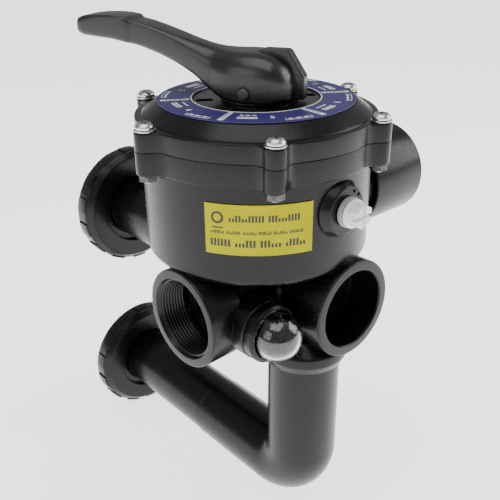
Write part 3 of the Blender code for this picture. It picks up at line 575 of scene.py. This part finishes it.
def union(prefix, z):
    """A tailpiece fixed to its pipe, and the nut that turns on it."""
    centre = spot(0.0, 0.0, z)
    back, face = TAIL_BACK_Y, UNION_FACE_Y
    tail = rounded([(39.0, face, 0.6), (39.0, back, 1.0), (24.3, back, 0.6), (24.3, back + 5.4, 0.0),
                    (20.0, back + 5.4, 0.0), (20.0, face, 0.5), (27.6, face, 0.3), (27.6, face - 3.0, 0.2),
                    (32.6, face - 3.0, 0.2), (32.6, face, 0.3)], closed=True)
    tailpiece = as_object(prefix + "_tail_flange", turned(tail, centre, Y_AXIS, ring=True))
    dressed(tailpiece, black_abs, "valve_body", "black_plastic", prefix + "_tailpiece")
    rim = NUT_REACH - 1.0
    near, far = NUT_NEAR_Y, NUT_FAR_Y
    outline = rounded([(rim, far, 0.6), (rim, near + 5.0, 1.6), (rim - 4.5, near, 1.2),
                       (NUT_HOLE, near, 0.9), (NUT_HOLE, near + 3.8, 0.3), (40.0, near + 3.8, 0.4),
                       (40.0, far, 0.6)], closed=True)
    body = prefix + "_union_nut"
    nut = as_object(prefix + "_nut_ring", turned(outline, centre, Y_AXIS, 112, True))
    dressed(nut, black_abs, body, "black_plastic", body)
    pads = round_axis(prefix + "_nut_grips", grip_pad(), GRIP_PADS, 360.0 / GRIP_PADS * 0.5,
                      centre + Y_AXIS * (near * MM), Y_AXIS, black_abs)
    dressed(pads, black_abs, body, "black_plastic")


union("upper", UPPER_NECK_Z)
union("lower", LOWER_PIPE_Z)


# ---------------------------------------------------------------- rotor, seals and spring
# The pale acetal rotor turns on a rubber spoked gasket; its stem leaves through two O-rings.
# A stainless spring between two slip washers holds the rotor down on the gasket.

rubber = moulded("moulded nitrile rubber", "#131314", "#1c1c1d", 0.7, grain_mm=0.35, relief_mm=0.02)
acetal = moulded("natural acetal", "#b9b7af", "#cdcbc3", 0.42, IOR=1.48)


def headed_steel(name, dark="#bdbdbb", light="#d8d8d5", gloss=0.25):
    """Stainless steel, cold headed and tumbled: bright, with fine scratches every way."""
    material, tree, shader = new_material(name, Metallic=1.0)
    place = add(tree, "ShaderNodeTexCoord").outputs["Object"]
    haze = add(tree, "ShaderNodeTexNoise", {"Vector": place}, {"Scale": 1.0 / (3.0 * MM), "Detail": 3.0})
    scratch = add(tree, "ShaderNodeTexNoise", {"Vector": place},
                  {"Scale": 1.0 / (0.4 * MM), "Detail": 5.0, "Distortion": 1.5})
    sheen = add(tree, "ShaderNodeMapRange", {"Value": haze.outputs["Fac"]},
                {"From Min": 0.3, "From Max": 0.7, "To Min": gloss - 0.09, "To Max": gloss + 0.09})
    relief = add(tree, "ShaderNodeBump", {"Height": scratch.outputs["Fac"]},
                 {"Strength": 0.4, "Distance": 0.01 * MM})
    tree.links.new(blended(tree, haze.outputs["Fac"], dark, light), shader.inputs["Base Color"])
    tree.links.new(sheen.outputs["Result"], shader.inputs["Roughness"])
    tree.links.new(relief.outputs["Normal"], shader.inputs["Normal"])
    return material


stainless = headed_steel("bright stainless steel")


def refinished(material, *nodes):
    """Give the frame's own parts a better material; their shape is kept."""
    for node in nodes:
        for slot in frame["nodes"][node].material_slots:
            slot.material = material


black_acetal = moulded("black acetal", "#1c1b19", "#262521", 0.45, IOR=1.48)
refinished(acetal, "rotor", "lower_spring_washer", "upper_spring_washer")
refinished(black_acetal, "handle_washer")
refinished(rubber, "stem_o_ring_1", "stem_o_ring_2", "spider_gasket", "lid_o_ring", "upper_union_o_ring",
           "lower_union_o_ring", "sight_glass_o_ring")

# The spring rises with the rotor; its top bears on the lid.
coils = bmesh.new()
coils.from_mesh(frame["nodes"]["rotor_spring"].data)
bmesh.ops.remove_doubles(coils, verts=coils.verts, dist=0.001 * MM)
bmesh.ops.recalc_face_normals(coils, faces=coils.faces)
spring = as_object("coil_spring", coils)
dressed(spring, stainless, "rotor", "stainless_steel", "rotor_spring", angle_deg=50.0)
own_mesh(spring)


# ---------------------------------------------------------------- lid
# The lid is a second ABS moulding: the same scalloped flange, a low cone up to a flat top, and
# six slots round the middle that the lever drops into, one for each position.

DETENT_FIRST_DEG = -32.0


def detent_slot():
    outline = rounded([(27.0, -3.0, 0.8), (37.2, -3.0, 0.8), (37.2, 3.0, 0.8), (27.0, 3.0, 0.8)], True)
    return slab(outline, LID_TOP - 2.2, LID_TOP + 2.0, 0.5, 0.0)


def bmesh_of(thing):
    """Take an object's mesh as a bmesh, and the object away."""
    bm = bmesh.new()
    bm.from_mesh(thing.data)
    bpy.data.objects.remove(thing, do_unlink=True)
    return bm


def make_lid():
    flange = set_down(slab(scalloped_outline(), SEAM + SEAM_HALF_GAP, FLANGE_HIGH, 0.25, 0.9), ROTOR_AXIS)
    cone = rounded([(0.0, LID_TOP, 0.0), (38.5, LID_TOP, 0.0), (38.7, LID_TOP - 0.4, 0.0),
                    (39.3, LID_TOP - 0.4, 0.0), (39.5, LID_TOP, 0.0), (61.8, LID_TOP, 0.9),
                    (71.6, 116.2, 3.2), (71.6, 107.0, 0.0), (0.0, 107.0, 0.0)], steps=6)
    roof = LID_TOP - 5.5
    hollow = [(57.0, roof), (64.5, roof - 7.0), (64.5, 100.0), (17.5, 100.0), (17.5, roof)]
    slots = round_axis("slots", detent_slot(), 6, DETENT_FIRST_DEG, ROTOR_AXIS, Z_AXIS, black_abs)
    cutters = [bmesh_of(slots), turned(hollow, ROTOR_AXIS, ring=True), rod(9.5, 90.0, 140.0, ROTOR_AXIS)]
    cutters += [rod(SCREW_HOLE, 95.0, 125.0, ROTOR_AXIS + polar(SCREW_CIRCLE, a) * MM, sides=24)
                for a in screw_angles]
    return carved("bolted_lid", turned(cone, ROTOR_AXIS, sides=144), [flange], cutters)


dressed(make_lid(), black_abs, "valve_body", "black_plastic", "lid", angle_deg=24.0)


# ---------------------------------------------------------------- position ring
# A blue-violet printed polyester ring is stuck on the flat of the lid. White bars part its six
# positions; each has a plain number, a filled block, a bracket and rows of short dashes.

RING_INNER = 39.6
RING_OUTER = 60.8
RING_LOW = LID_TOP + 0.3
INK_LOW = RING_LOW + 0.55
INK_HIGH = RING_LOW + 0.7


def printed_film(name, dark, light, gloss, **values):
    """Screen-printed polyester film: smooth and even, with a slight orange peel."""
    return moulded(name, dark, light, gloss, grain_mm=0.8, relief_mm=0.006, edge_mm=0.2, **values)


blue_film = printed_film("blue printed polyester", "#2a215f", "#30276a", 0.42)
white_ink = printed_film("white screen ink", "#e2e2e6", "#f2f2f4", 0.4)
black_ink = printed_film("black screen ink", "#101012", "#18181a", 0.4)

ring_outline = rounded([(RING_OUTER, RING_LOW + 0.6, 0.25), (RING_OUTER, RING_LOW, 0.0),
                        (RING_INNER, RING_LOW, 0.0), (RING_INNER, RING_LOW + 0.6, 0.25)], True)
position_film = as_object("position_film", turned(ring_outline, ROTOR_AXIS, sides=144, ring=True))
dressed(position_film, blue_film, "valve_body", "position_print", "position_ring")


def ring_patch(inner, outer, start_deg, end_deg, low=INK_LOW, high=INK_HIGH):
    """A printed patch of the ring between two radii and two angles."""
    count = max(2, int(abs(end_deg - start_deg) / 3.0))
    outline = arc((0.0, 0.0), outer, start_deg, end_deg, count)
    outline += arc((0.0, 0.0), inner, end_deg, start_deg, count)
    return slab(outline, low, high, 0.0, 0.02, 1)


def merged(*shapes):
    """Several shapes as one bmesh."""
    whole = bmesh.new()
    for shape in shapes:
        mesh = bpy.data.meshes.new("part")
        shape.to_mesh(mesh)
        shape.free()
        whole.from_mesh(mesh)
        bpy.data.meshes.remove(mesh)
    return whole


def printed_words(inner, outer, start_deg, end_deg, words, low, high):
    """A line of print, kept to plain dashes of uneven length."""
    spread = random.Random(words)
    widths = [spread.uniform(0.7, 1.6) for _ in range(words)]
    unit = (end_deg - start_deg) / (sum(widths) + 0.45 * (words - 1))
    shapes = []
    at = start_deg
    for width in widths:
        shapes.append(ring_patch(inner, outer, at, at + width * unit, low, high))
        at += (width + 0.45) * unit
    return shapes


def position_marks():
    """The white print of one position: a broad dividing bar, a name block, a line and a bracket."""
    shapes = [ring_patch(41.4, 58.8, -1.7, 1.7), ring_patch(49.8, 53.2, 8.0, 20.5)]
    shapes += printed_words(45.6, 46.8, 8.5, 20.0, 3, INK_LOW, INK_HIGH)
    shapes += printed_words(55.2, 56.6, 38.0, 51.0, 3, INK_LOW, INK_HIGH)
    shapes += [ring_patch(58.0, 58.5, 36.5, 52.5), ring_patch(55.0, 58.2, 36.2, 36.7),
               ring_patch(55.0, 58.2, 52.3, 52.8)]
    return merged(*shapes)


def knocked_out():
    """The blue dashes left clear in the white bar and in the name block."""
    high = (RING_LOW + 0.6, RING_LOW + 0.74)
    shapes = [ring_patch(r, r + 1.7, -0.7, 0.7, *high) for r in (43.6, 46.2, 48.8, 51.4, 54.0)]
    shapes += printed_words(51.0, 52.0, 9.0, 19.5, 4, *high)
    return merged(*shapes)


bars = round_axis("position_bars", position_marks(), 6, DETENT_FIRST_DEG, ROTOR_AXIS, Z_AXIS, white_ink)
dressed(bars, white_ink, "valve_body", "position_print")
dashes = round_axis("position_dashes", knocked_out(), 6, DETENT_FIRST_DEG, ROTOR_AXIS, Z_AXIS, blue_film)
dressed(dashes, blue_film, "valve_body", "position_print")
inner_line = as_object("inner_line", turned(
    [(40.4, RING_LOW + 0.72), (40.4, RING_LOW + 0.5), (39.7, RING_LOW + 0.5), (39.7, RING_LOW + 0.72)],
    ROTOR_AXIS, sides=144, ring=True))
dressed(inner_line, white_ink, "valve_body", "position_print")


def number_mesh(text, size_mm, matrix):
    """A number as a thin solid, placed by a matrix."""
    curve = bpy.data.curves.new("number", "FONT")
    curve.body = text
    curve.size = size_mm * MM
    curve.extrude = 0.08 * MM
    curve.align_x = "CENTER"
    curve.align_y = "CENTER"
    curve.resolution_u = 3
    writer = bpy.data.objects.new("number", curve)
    bpy.context.scene.collection.objects.link(writer)
    bpy.context.view_layer.update()
    mesh = bpy.data.meshes.new_from_object(writer)
    mesh.transform(matrix)
    bpy.data.objects.remove(writer, do_unlink=True)
    bm = bmesh.new()
    bm.from_mesh(mesh)
    bmesh.ops.remove_doubles(bm, verts=bm.verts, dist=0.001 * MM)
    return bm


def ring_numbers():
    shapes = []
    for i in range(6):
        angle = DETENT_FIRST_DEG + 30.0 + 60.0 * i
        place = ROTOR_AXIS + polar(51.0, angle, RING_LOW + 0.62) * MM
        turn = Matrix.Rotation(math.radians(angle + 90.0), 4, "Z")
        shapes.append(number_mesh(str(i + 1), 6.5, Matrix.Translation(place) @ turn))
    return merged(*shapes)


dressed(as_object("position_numbers", ring_numbers()), white_ink, "valve_body", "position_print")


# ---------------------------------------------------------------- front label
# A yellow vinyl label wraps the front of the bowl, stuck on flat with square corners.
# Its print is a plain ring, a bar and three rows of black strokes, with nothing to read.

LABEL_REACH = 73.1
LABEL_LOW = 50.4
LABEL_HIGH = 81.1
PRINT_INNER = LABEL_REACH - 0.1
PRINT_OUTER = LABEL_REACH + 0.08


def bowl_patch(start_deg, end_deg, low, high, inner, outer):
    """A thin curved patch on the bowl between two angles and two heights."""
    outline = arc((0.0, 0.0), outer, start_deg, end_deg, max(3, int(abs(end_deg - start_deg))))
    outline += arc((0.0, 0.0), inner, end_deg, start_deg, max(3, int(abs(end_deg - start_deg))))
    return set_down(slab(outline, low, high, 0.05, 0.05, 1), ROTOR_AXIS)


yellow_vinyl = printed_film("yellow printed vinyl", "#aaa600", "#b4b000", 0.6, Specular_IOR_Level=0.05)
label = as_object("yellow_label", bowl_patch(-155.7, -106.6, LABEL_LOW, LABEL_HIGH, 72.6, LABEL_REACH))
dressed(label, yellow_vinyl, "valve_body", "yellow_label", "front_label")
label_rows = ((-144.5, -112.5, 71.0, 75.0, 2), (-153.0, -111.0, 63.4, 65.4, 6),
              (-153.2, -109.5, 55.6, 60.0, 4))


def label_words(start_deg, end_deg, low, high, words):
    """One row of the label's print as letter-wide strokes in groups, with nothing to read."""
    spread = random.Random(words)
    count = int((end_deg - start_deg) / (0.36 * (high - low)))
    step = (end_deg - start_deg) / count
    gaps = {int(count * (k + 1) / words) for k in range(words - 1)}
    shapes = []
    for k in range(count):
        if k in gaps:
            continue
        at = start_deg + k * step
        top = high if spread.random() < 0.7 else low + 0.55 * (high - low)
        shapes.append(bowl_patch(at, at + 0.62 * step, low, top, PRINT_INNER, PRINT_OUTER))
    return shapes


def emblem():
    """A plain ring above a short bar."""
    mark = [bowl_patch(-152.4, -147.2, 66.6, 67.4, PRINT_INNER, PRINT_OUTER)]
    centre_deg, centre_z, radius = -149.8, 73.0, 3.0
    for k in range(24):
        angle = TURN * k / 24
        middle = centre_deg + math.degrees(radius * math.cos(angle) / LABEL_REACH)
        height = centre_z + radius * math.sin(angle)
        mark.append(bowl_patch(middle - 0.5, middle + 0.5, height - 0.6, height + 0.6,
                               PRINT_INNER, PRINT_OUTER))
    return mark


label_marks = emblem()
for row in label_rows:
    label_marks += label_words(*row)
dressed(as_object("label_bars", merged(*label_marks)), black_ink, "valve_body", "yellow_label")


# ---------------------------------------------------------------- lid screws
# Six M6 stainless pan-head screws with plain washers go down through the bosses of both
# flanges, each with a cross recess in its head and a hexagon nut below.

WASHER_LOW = FLANGE_HIGH + 0.3
HEAD_LOW = WASHER_LOW + 1.1
NUT_TOP = FLANGE_LOW - 0.3


def moved_out(bm):
    """A fastener modelled on the Z axis, moved out to the screw circle."""
    bmesh.ops.translate(bm, verts=bm.verts, vec=X_AXIS * (SCREW_CIRCLE * MM))
    return bm


def screw_shape():
    outline = rounded([(0.0, HEAD_LOW + 3.6, 0.0), (3.9, HEAD_LOW + 3.5, 3.0), (5.6, HEAD_LOW + 1.5, 1.2),
                       (5.6, HEAD_LOW, 0.2), (2.9, HEAD_LOW, 0.0), (2.9, NUT_TOP - 4.6, 0.4),
                       (0.0, NUT_TOP - 4.6, 0.0)], steps=4)
    slots = []
    for half_x, half_y in ((0.65, 3.3), (3.3, 0.65)):
        outline_slot = rounded([(-half_x, -half_y, 0.3), (half_x, -half_y, 0.3), (half_x, half_y, 0.3),
                                (-half_x, half_y, 0.3)], True, 2)
        slots.append(slab(outline_slot, HEAD_LOW + 1.3, HEAD_LOW + 5.0, 0.4, 0.0, 2))
    return bmesh_of(carved("screw", turned(outline, Vector(), sides=40), (), slots))


def washer_shape():
    outline = rounded([(6.3, WASHER_LOW + 0.8, 0.2), (6.3, WASHER_LOW, 0.2), (3.3, WASHER_LOW, 0.1),
                       (3.3, WASHER_LOW + 0.8, 0.2)], True, 2)
    return turned(outline, Vector(), sides=40, ring=True)


def nut_shape():
    """A hexagon nut with its lower corners chamfered and a clear hole through it."""
    low = NUT_TOP - 3.4
    flats = [(0.0, NUT_TOP), (5.7, NUT_TOP), (5.7, low), (0.0, low)]
    nut = as_object("nut", turned(flats, Vector(), sides=6))
    chamfer = [(0.0, NUT_TOP + 1.0), (9.0, NUT_TOP + 1.0), (9.0, NUT_TOP - 2.2), (4.9, low), (0.0, low)]
    tool = as_object("tool", turned(chamfer, Vector(), sides=48))
    step = nut.modifiers.new("chamfer", "BOOLEAN")
    step.operation = "INTERSECT"
    step.solver = "MANIFOLD"
    step.object = tool
    settled(nut)
    bpy.data.objects.remove(tool, do_unlink=True)
    hole = rod(3.3, NUT_TOP - 9.0, NUT_TOP + 3.0, Vector(), sides=32)
    return bmesh_of(carved("nut", bmesh_of(nut), (), [hole]))


# The nuts' steel is painted darker than the screws' steel, as painted shade under the lower flange.
shade_darkened_steel = headed_steel("stainless steel darkened as painted shade", "#3c3c3d", "#6a6a6a", 0.38)
for name, shape, steel in (("screw", screw_shape(), stainless), ("washer", washer_shape(), stainless),
                           ("nut", nut_shape(), shade_darkened_steel)):
    fasteners = round_axis(name + "_set", moved_out(shape), SCREW_COUNT, SCREW_FIRST_DEG, ROTOR_AXIS, Z_AXIS,
                           steel)
    nodes = [f"lid_{name}_{i + 1}" for i in range(SCREW_COUNT)]
    dressed(fasteners, steel, "valve_body", "stainless_steel", *nodes)


# ---------------------------------------------------------------- handle
# The lever is one stout glass-filled nylon moulding: a wide hub whose two cheeks straddle the
# stem, a web behind it that drops into the lid's slots, and a long arm that rises to the tip.

HANDLE_DEG = 118.0
HANDLE_BASE = 124.6
PIN_Z = 130.0
lever_rows = (
    # along, half width, bottom, top, radius of the top edges, radius of the bottom edges
    (-25.5, 9.0, 126.5, 136.0, 4.0, 4.0),
    (-24.6, 13.0, 125.4, 140.0, 8.0, 4.0),
    (-22.0, 17.5, 124.8, 144.5, 12.0, 3.0),
    (-16.0, 21.0, 124.6, 149.0, 16.0, 1.5),
    (-8.0, 22.0, 124.6, 151.4, 18.5, 1.2),
    (2.0, 21.8, 124.6, 151.9, 19.0, 1.2),
    (10.0, 20.5, 124.6, 151.9, 18.0, 1.8),
    (16.0, 18.5, 125.0, 152.2, 16.0, 3.0),
    (24.0, 15.2, 128.0, 153.2, 12.5, 4.0),
    (37.0, 12.2, 136.4, 156.0, 8.0, 4.5),
    (52.0, 10.8, 143.8, 160.2, 4.2, 4.5),
    (68.0, 10.4, 149.6, 164.6, 2.6, 4.0),
    (79.0, 10.7, 152.6, 166.8, 1.8, 3.6),
    (81.5, 12.0, 153.4, 168.6, 1.8, 3.2),
    (92.0, 12.4, 155.2, 169.6, 2.0, 3.2),
    (104.0, 12.4, 156.2, 169.4, 2.4, 3.2),
    (112.0, 11.8, 156.8, 168.6, 3.2, 3.4),
    (116.2, 10.4, 157.8, 167.2, 3.6, 3.4),
    (117.5, 8.0, 159.6, 165.4, 2.4, 2.4),
)


def eased(rows, along):
    """The row at a place along the lever, on a smooth curve through the given rows."""
    k = max(i for i in range(len(rows) - 1) if rows[i][0] <= along or i == 0)
    a, b, c, d = (rows[min(max(i, 0), len(rows) - 1)] for i in (k - 1, k, k + 1, k + 2))
    t = (along - b[0]) / (c[0] - b[0])
    found = [along]
    for p, q, r, s in list(zip(a, b, c, d))[1:]:
        found.append(q + 0.5 * t * (r - p + t * (2.0 * p - 5.0 * q + 4.0 * r - s
                                                 + t * (3.0 * (q - r) + s - p))))
    return found


def lever_section(along, half, low, high, top_round, low_round):
    outline = rounded([(half, low, low_round), (half, high, top_round), (-half, high, top_round),
                       (-half, low, low_round)], True, 7)
    turn = Matrix.Rotation(math.radians(HANDLE_DEG), 3, "Z")
    return [ROTOR_AXIS + turn @ Vector((along, p.x, p.y)) * MM for p in outline]


def make_handle():
    places = [row[0] for row in lever_rows]
    stations = [places[0] + 0.25 * k for k in range(8)]
    stations += [stations[-1] + 1.5 * k for k in range(1, 90) if stations[-1] + 1.5 * k < 111.0]
    stations += [111.5 + 0.5 * k for k in range(12)] + [places[-1]]
    arm = skinned([lever_section(*eased(lever_rows, place)) for place in stations], caps=True)
    web = rounded([(-31.5, HANDLE_BASE, 1.0), (-31.5, 138.0, 2.0), (-21.5, 153.5, 3.0), (-6.0, 153.5, 8.0),
                   (6.0, 148.0, 0.5), (0.0, HANDLE_BASE, 0.5)], True)
    stand = Matrix.Rotation(math.radians(HANDLE_DEG), 4, "Z") @ Matrix.Rotation(math.radians(90.0), 4, "X")
    plate = slab(web[::-1], -4.2, 4.2, 1.0, 1.0)
    bmesh.ops.transform(plate, matrix=Matrix.Translation(ROTOR_AXIS) @ stand, verts=plate.verts)
    across = polar(1.0, HANDLE_DEG + 90.0)
    hole = rod(3.8, -40.0, 40.0, spot(0.0, 0.0, PIN_Z), across, 40)
    slot = block((-13.0, -9.8, 100.0), (13.0, 9.8, 146.0), HANDLE_DEG)
    return carved("lever", arm, [plate], [slot, hole])


lever_plastic = moulded("glass-filled black nylon", "#0d0d0e", "#141415", 0.3, grain_mm=0.7, relief_mm=0.01,
                        IOR=1.53)
dressed(make_handle(), lever_plastic, "handle", "handle_plastic", "handle", angle_deg=38.0)

# The pin through the stem is a dark grey glass-filled rod with rounded ends.
pin_plastic = moulded("dark glass-filled nylon", "#2a2a2c", "#353537", 0.4, IOR=1.53)
pin_outline = rounded([(0.0, 23.6, 0.0), (3.5, 23.6, 1.0), (3.5, -23.6, 1.0), (0.0, -23.6, 0.0)])
pin = as_object("lever_pin", turned(pin_outline, spot(0.0, 0.0, PIN_Z), polar(1.0, HANDLE_DEG + 90.0), 48))
dressed(pin, pin_plastic, "rotor", "handle_plastic", "handle_pin")


# ---------------------------------------------------------------- sight glass
# A clear polycarbonate thimble shows the waste water. A black screwed ring holds it, on an
# O-ring, against the boss beside the return port.

SIGHT_AXIS = -Y_AXIS


def clear_plastic(name):
    """Moulded polycarbonate: clear and slightly grey, with faint flow lines."""
    material, tree, shader = new_material(name, IOR=1.58, Transmission_Weight=1.0)
    place = add(tree, "ShaderNodeTexCoord").outputs["Object"]
    flow = add(tree, "ShaderNodeTexNoise", {"Vector": place}, {"Scale": 1.0 / (6.0 * MM), "Detail": 2.0})
    haze = add(tree, "ShaderNodeMapRange", {"Value": flow.outputs["Fac"]},
               {"From Min": 0.3, "From Max": 0.7, "To Min": 0.02, "To Max": 0.09})
    wave = add(tree, "ShaderNodeBump", {"Height": flow.outputs["Fac"]},
               {"Strength": 0.2, "Distance": 0.2 * MM})
    tree.links.new(blended(tree, flow.outputs["Fac"], "#c9cdcf", "#dde0e1"), shader.inputs["Base Color"])
    tree.links.new(haze.outputs["Result"], shader.inputs["Roughness"])
    tree.links.new(wave.outputs["Normal"], shader.inputs["Normal"])
    return material


def sight_outline():
    tip = arc((0.0, 10.0), 15.5, 90.0, 0.0, 18)
    inner = arc((0.0, 10.0), 13.3, 0.0, 90.0, 18)
    flange = rounded([(15.5, 3.0, 0.0), (15.5, 2.9, 0.2), (17.3, 2.9, 0.3), (17.3, 0.3, 0.3),
                      (13.3, 0.3, 0.3), (13.3, 1.5, 0.0)])
    return tip + flange + inner


glass = as_object("sight_dome", turned(sight_outline(), SIGHT_GLASS, SIGHT_AXIS, 72))
dressed(glass, clear_plastic("clear polycarbonate"), "valve_body", "clear_plastic", "sight_glass")
ring_outline = rounded([(15.8, 7.5, 0.4), (17.6, 7.5, 0.6), (19.0, 6.0, 0.5), (19.0, 0.3, 0.4),
                        (17.6, 0.3, 0.0), (17.6, 3.2, 0.0), (15.8, 3.2, 0.0)], True)
sight_ring = as_object("sight_ring", turned(ring_outline, SIGHT_GLASS, SIGHT_AXIS, 72, True))
dressed(sight_ring, black_abs, "valve_body", "black_plastic", "sight_glass_ring")


# ---------------------------------------------------------------- drain plug
# A white nylon plug with a hexagon head and a cross slot closes the gauge tapping, on a soft
# grey washer.

nylon = moulded("white moulded nylon", "#e4e4e2", "#efefec", 0.34, relief_mm=0.008, IOR=1.53,
                Subsurface_Weight=0.15, Subsurface_Scale=1.0 * MM)
washer_plastic = moulded("grey soft PVC", "#8b8c8e", "#9b9c9e", 0.5)
PLUG = spot(0.0, -77.0, PLUG_Z)
ring_outline = rounded([(9.2, 3.5, 0.7), (9.2, 0.3, 0.7), (PLUG_HOLE, 0.3, 0.3), (PLUG_HOLE, 3.5, 0.3)], True)
soft_washer = as_object("plug_washer", turned(ring_outline, PLUG, -Y_AXIS, 64, True))
dressed(soft_washer, washer_plastic, "valve_body", "grey_plastic", "drain_plug_washer")


def make_plug():
    shank = rounded([(0.0, 8.6, 0.0), (5.6, 8.6, 0.3), (6.6, 6.6, 0.4), (8.7, 6.4, 0.8), (8.7, 3.8, 0.8),
                     (6.3, 3.8, 0.0), (6.3, -13.0, 0.8), (0.0, -13.0, 0.0)])
    corners = [polar(7.9, 60.0 * i + 30.0) for i in range(6)]
    head = slab(rounded([(c.x, c.y, 0.8) for c in corners], True, 3), 7.4, 12.8, 0.6, 0.9)
    slots = [slab([Vector(p) for p in ((-a, -b), (a, -b), (a, b), (-a, b))], 10.4, 16.0, 0.0, 0.0)
             for a, b in ((1.1, 14.0), (14.0, 1.1))]
    return carved("plug", turned(shank, PLUG, -Y_AXIS, 64), [set_down(head, PLUG, -Y_AXIS)],
                  [set_down(shape, PLUG, -Y_AXIS) for shape in slots])


dressed(make_plug(), nylon, "valve_body", "white_nylon", "drain_plug")


# ---------------------------------------------------------------- studio
# A wide pale floor lies just below the lower union, with broad soft lamps round the valve and
# the camera above and to the left.

FLOOR_SIZE = 40.0
floor_mesh = bmesh.new()
bmesh.ops.create_grid(floor_mesh, x_segments=1, y_segments=1, size=FLOOR_SIZE)
bmesh.ops.translate(floor_mesh, verts=floor_mesh.verts, vec=Z_AXIS * (cad_box[0][2] - 0.5 * MM))
floor = as_object("floor", floor_mesh)
paper, paper_tree, paper_shader = new_material("white paper", Roughness=0.9)
paper_noise = add(paper_tree, "ShaderNodeTexNoise", values={"Scale": 40.0})
paper_tree.links.new(blended(paper_tree, paper_noise.outputs["Fac"], "#fbfbfb", "#ffffff"),
                     paper_shader.inputs["Base Color"])
paper_shader.inputs["Emission Color"].default_value = (1.0, 1.0, 1.0, 1.0)
paper_shader.inputs["Emission Strength"].default_value = 1.8
floor.data.materials.append(paper)

CAMERA = spot(-284.2, -314.2, 224.1)
YAW, PITCH, ROLL = 0.724, 0.451, -0.01


def camera_axes():
    right = Vector((math.cos(YAW), -math.sin(YAW), 0.0))
    ahead = Vector((math.sin(YAW) * math.cos(PITCH), math.cos(YAW) * math.cos(PITCH), -math.sin(PITCH)))
    up = right.cross(ahead)
    across = right * math.cos(ROLL) + up * math.sin(ROLL)
    upward = up * math.cos(ROLL) - right * math.sin(ROLL)
    return (across, upward, -ahead)


lens = bpy.data.cameras.new("camera")
lens.sensor_width = 36.0
lens.lens = 49.77
lens.clip_start = 0.01
camera = bpy.data.objects.new("camera", lens)
bpy.context.scene.collection.objects.link(camera)
camera.matrix_world = Matrix.Translation(CAMERA) @ Matrix(camera_axes()).transposed().to_4x4()
bpy.context.scene.camera = camera


def lamp(name, place, size, power):
    """A square soft box aimed at the valve."""
    data = bpy.data.lights.new(name, "AREA")
    data.size = size
    data.energy = power
    box = bpy.data.objects.new(name, data)
    bpy.context.scene.collection.objects.link(box)
    target = Vector((0.0, -0.15, 0.0))
    aim = (target - Vector(place)).to_track_quat("-Z", "Y").to_matrix().to_4x4()
    box.matrix_world = Matrix.Translation(place) @ aim


lamp("top", (-0.3, -0.3, 1.6), 1.4, 15.0)
lamp("left", (-1.6, -0.1, 0.7), 1.0, 6.0)
lamp("right", (1.3, -0.9, 0.7), 1.0, 13.0)
world = bpy.data.worlds.new("studio")
world.use_nodes = True
world.node_tree.nodes["Background"].inputs["Color"].default_value = (1.0, 1.0, 1.0, 1.0)
world.node_tree.nodes["Background"].inputs["Strength"].default_value = 0.4
bpy.context.scene.world = world
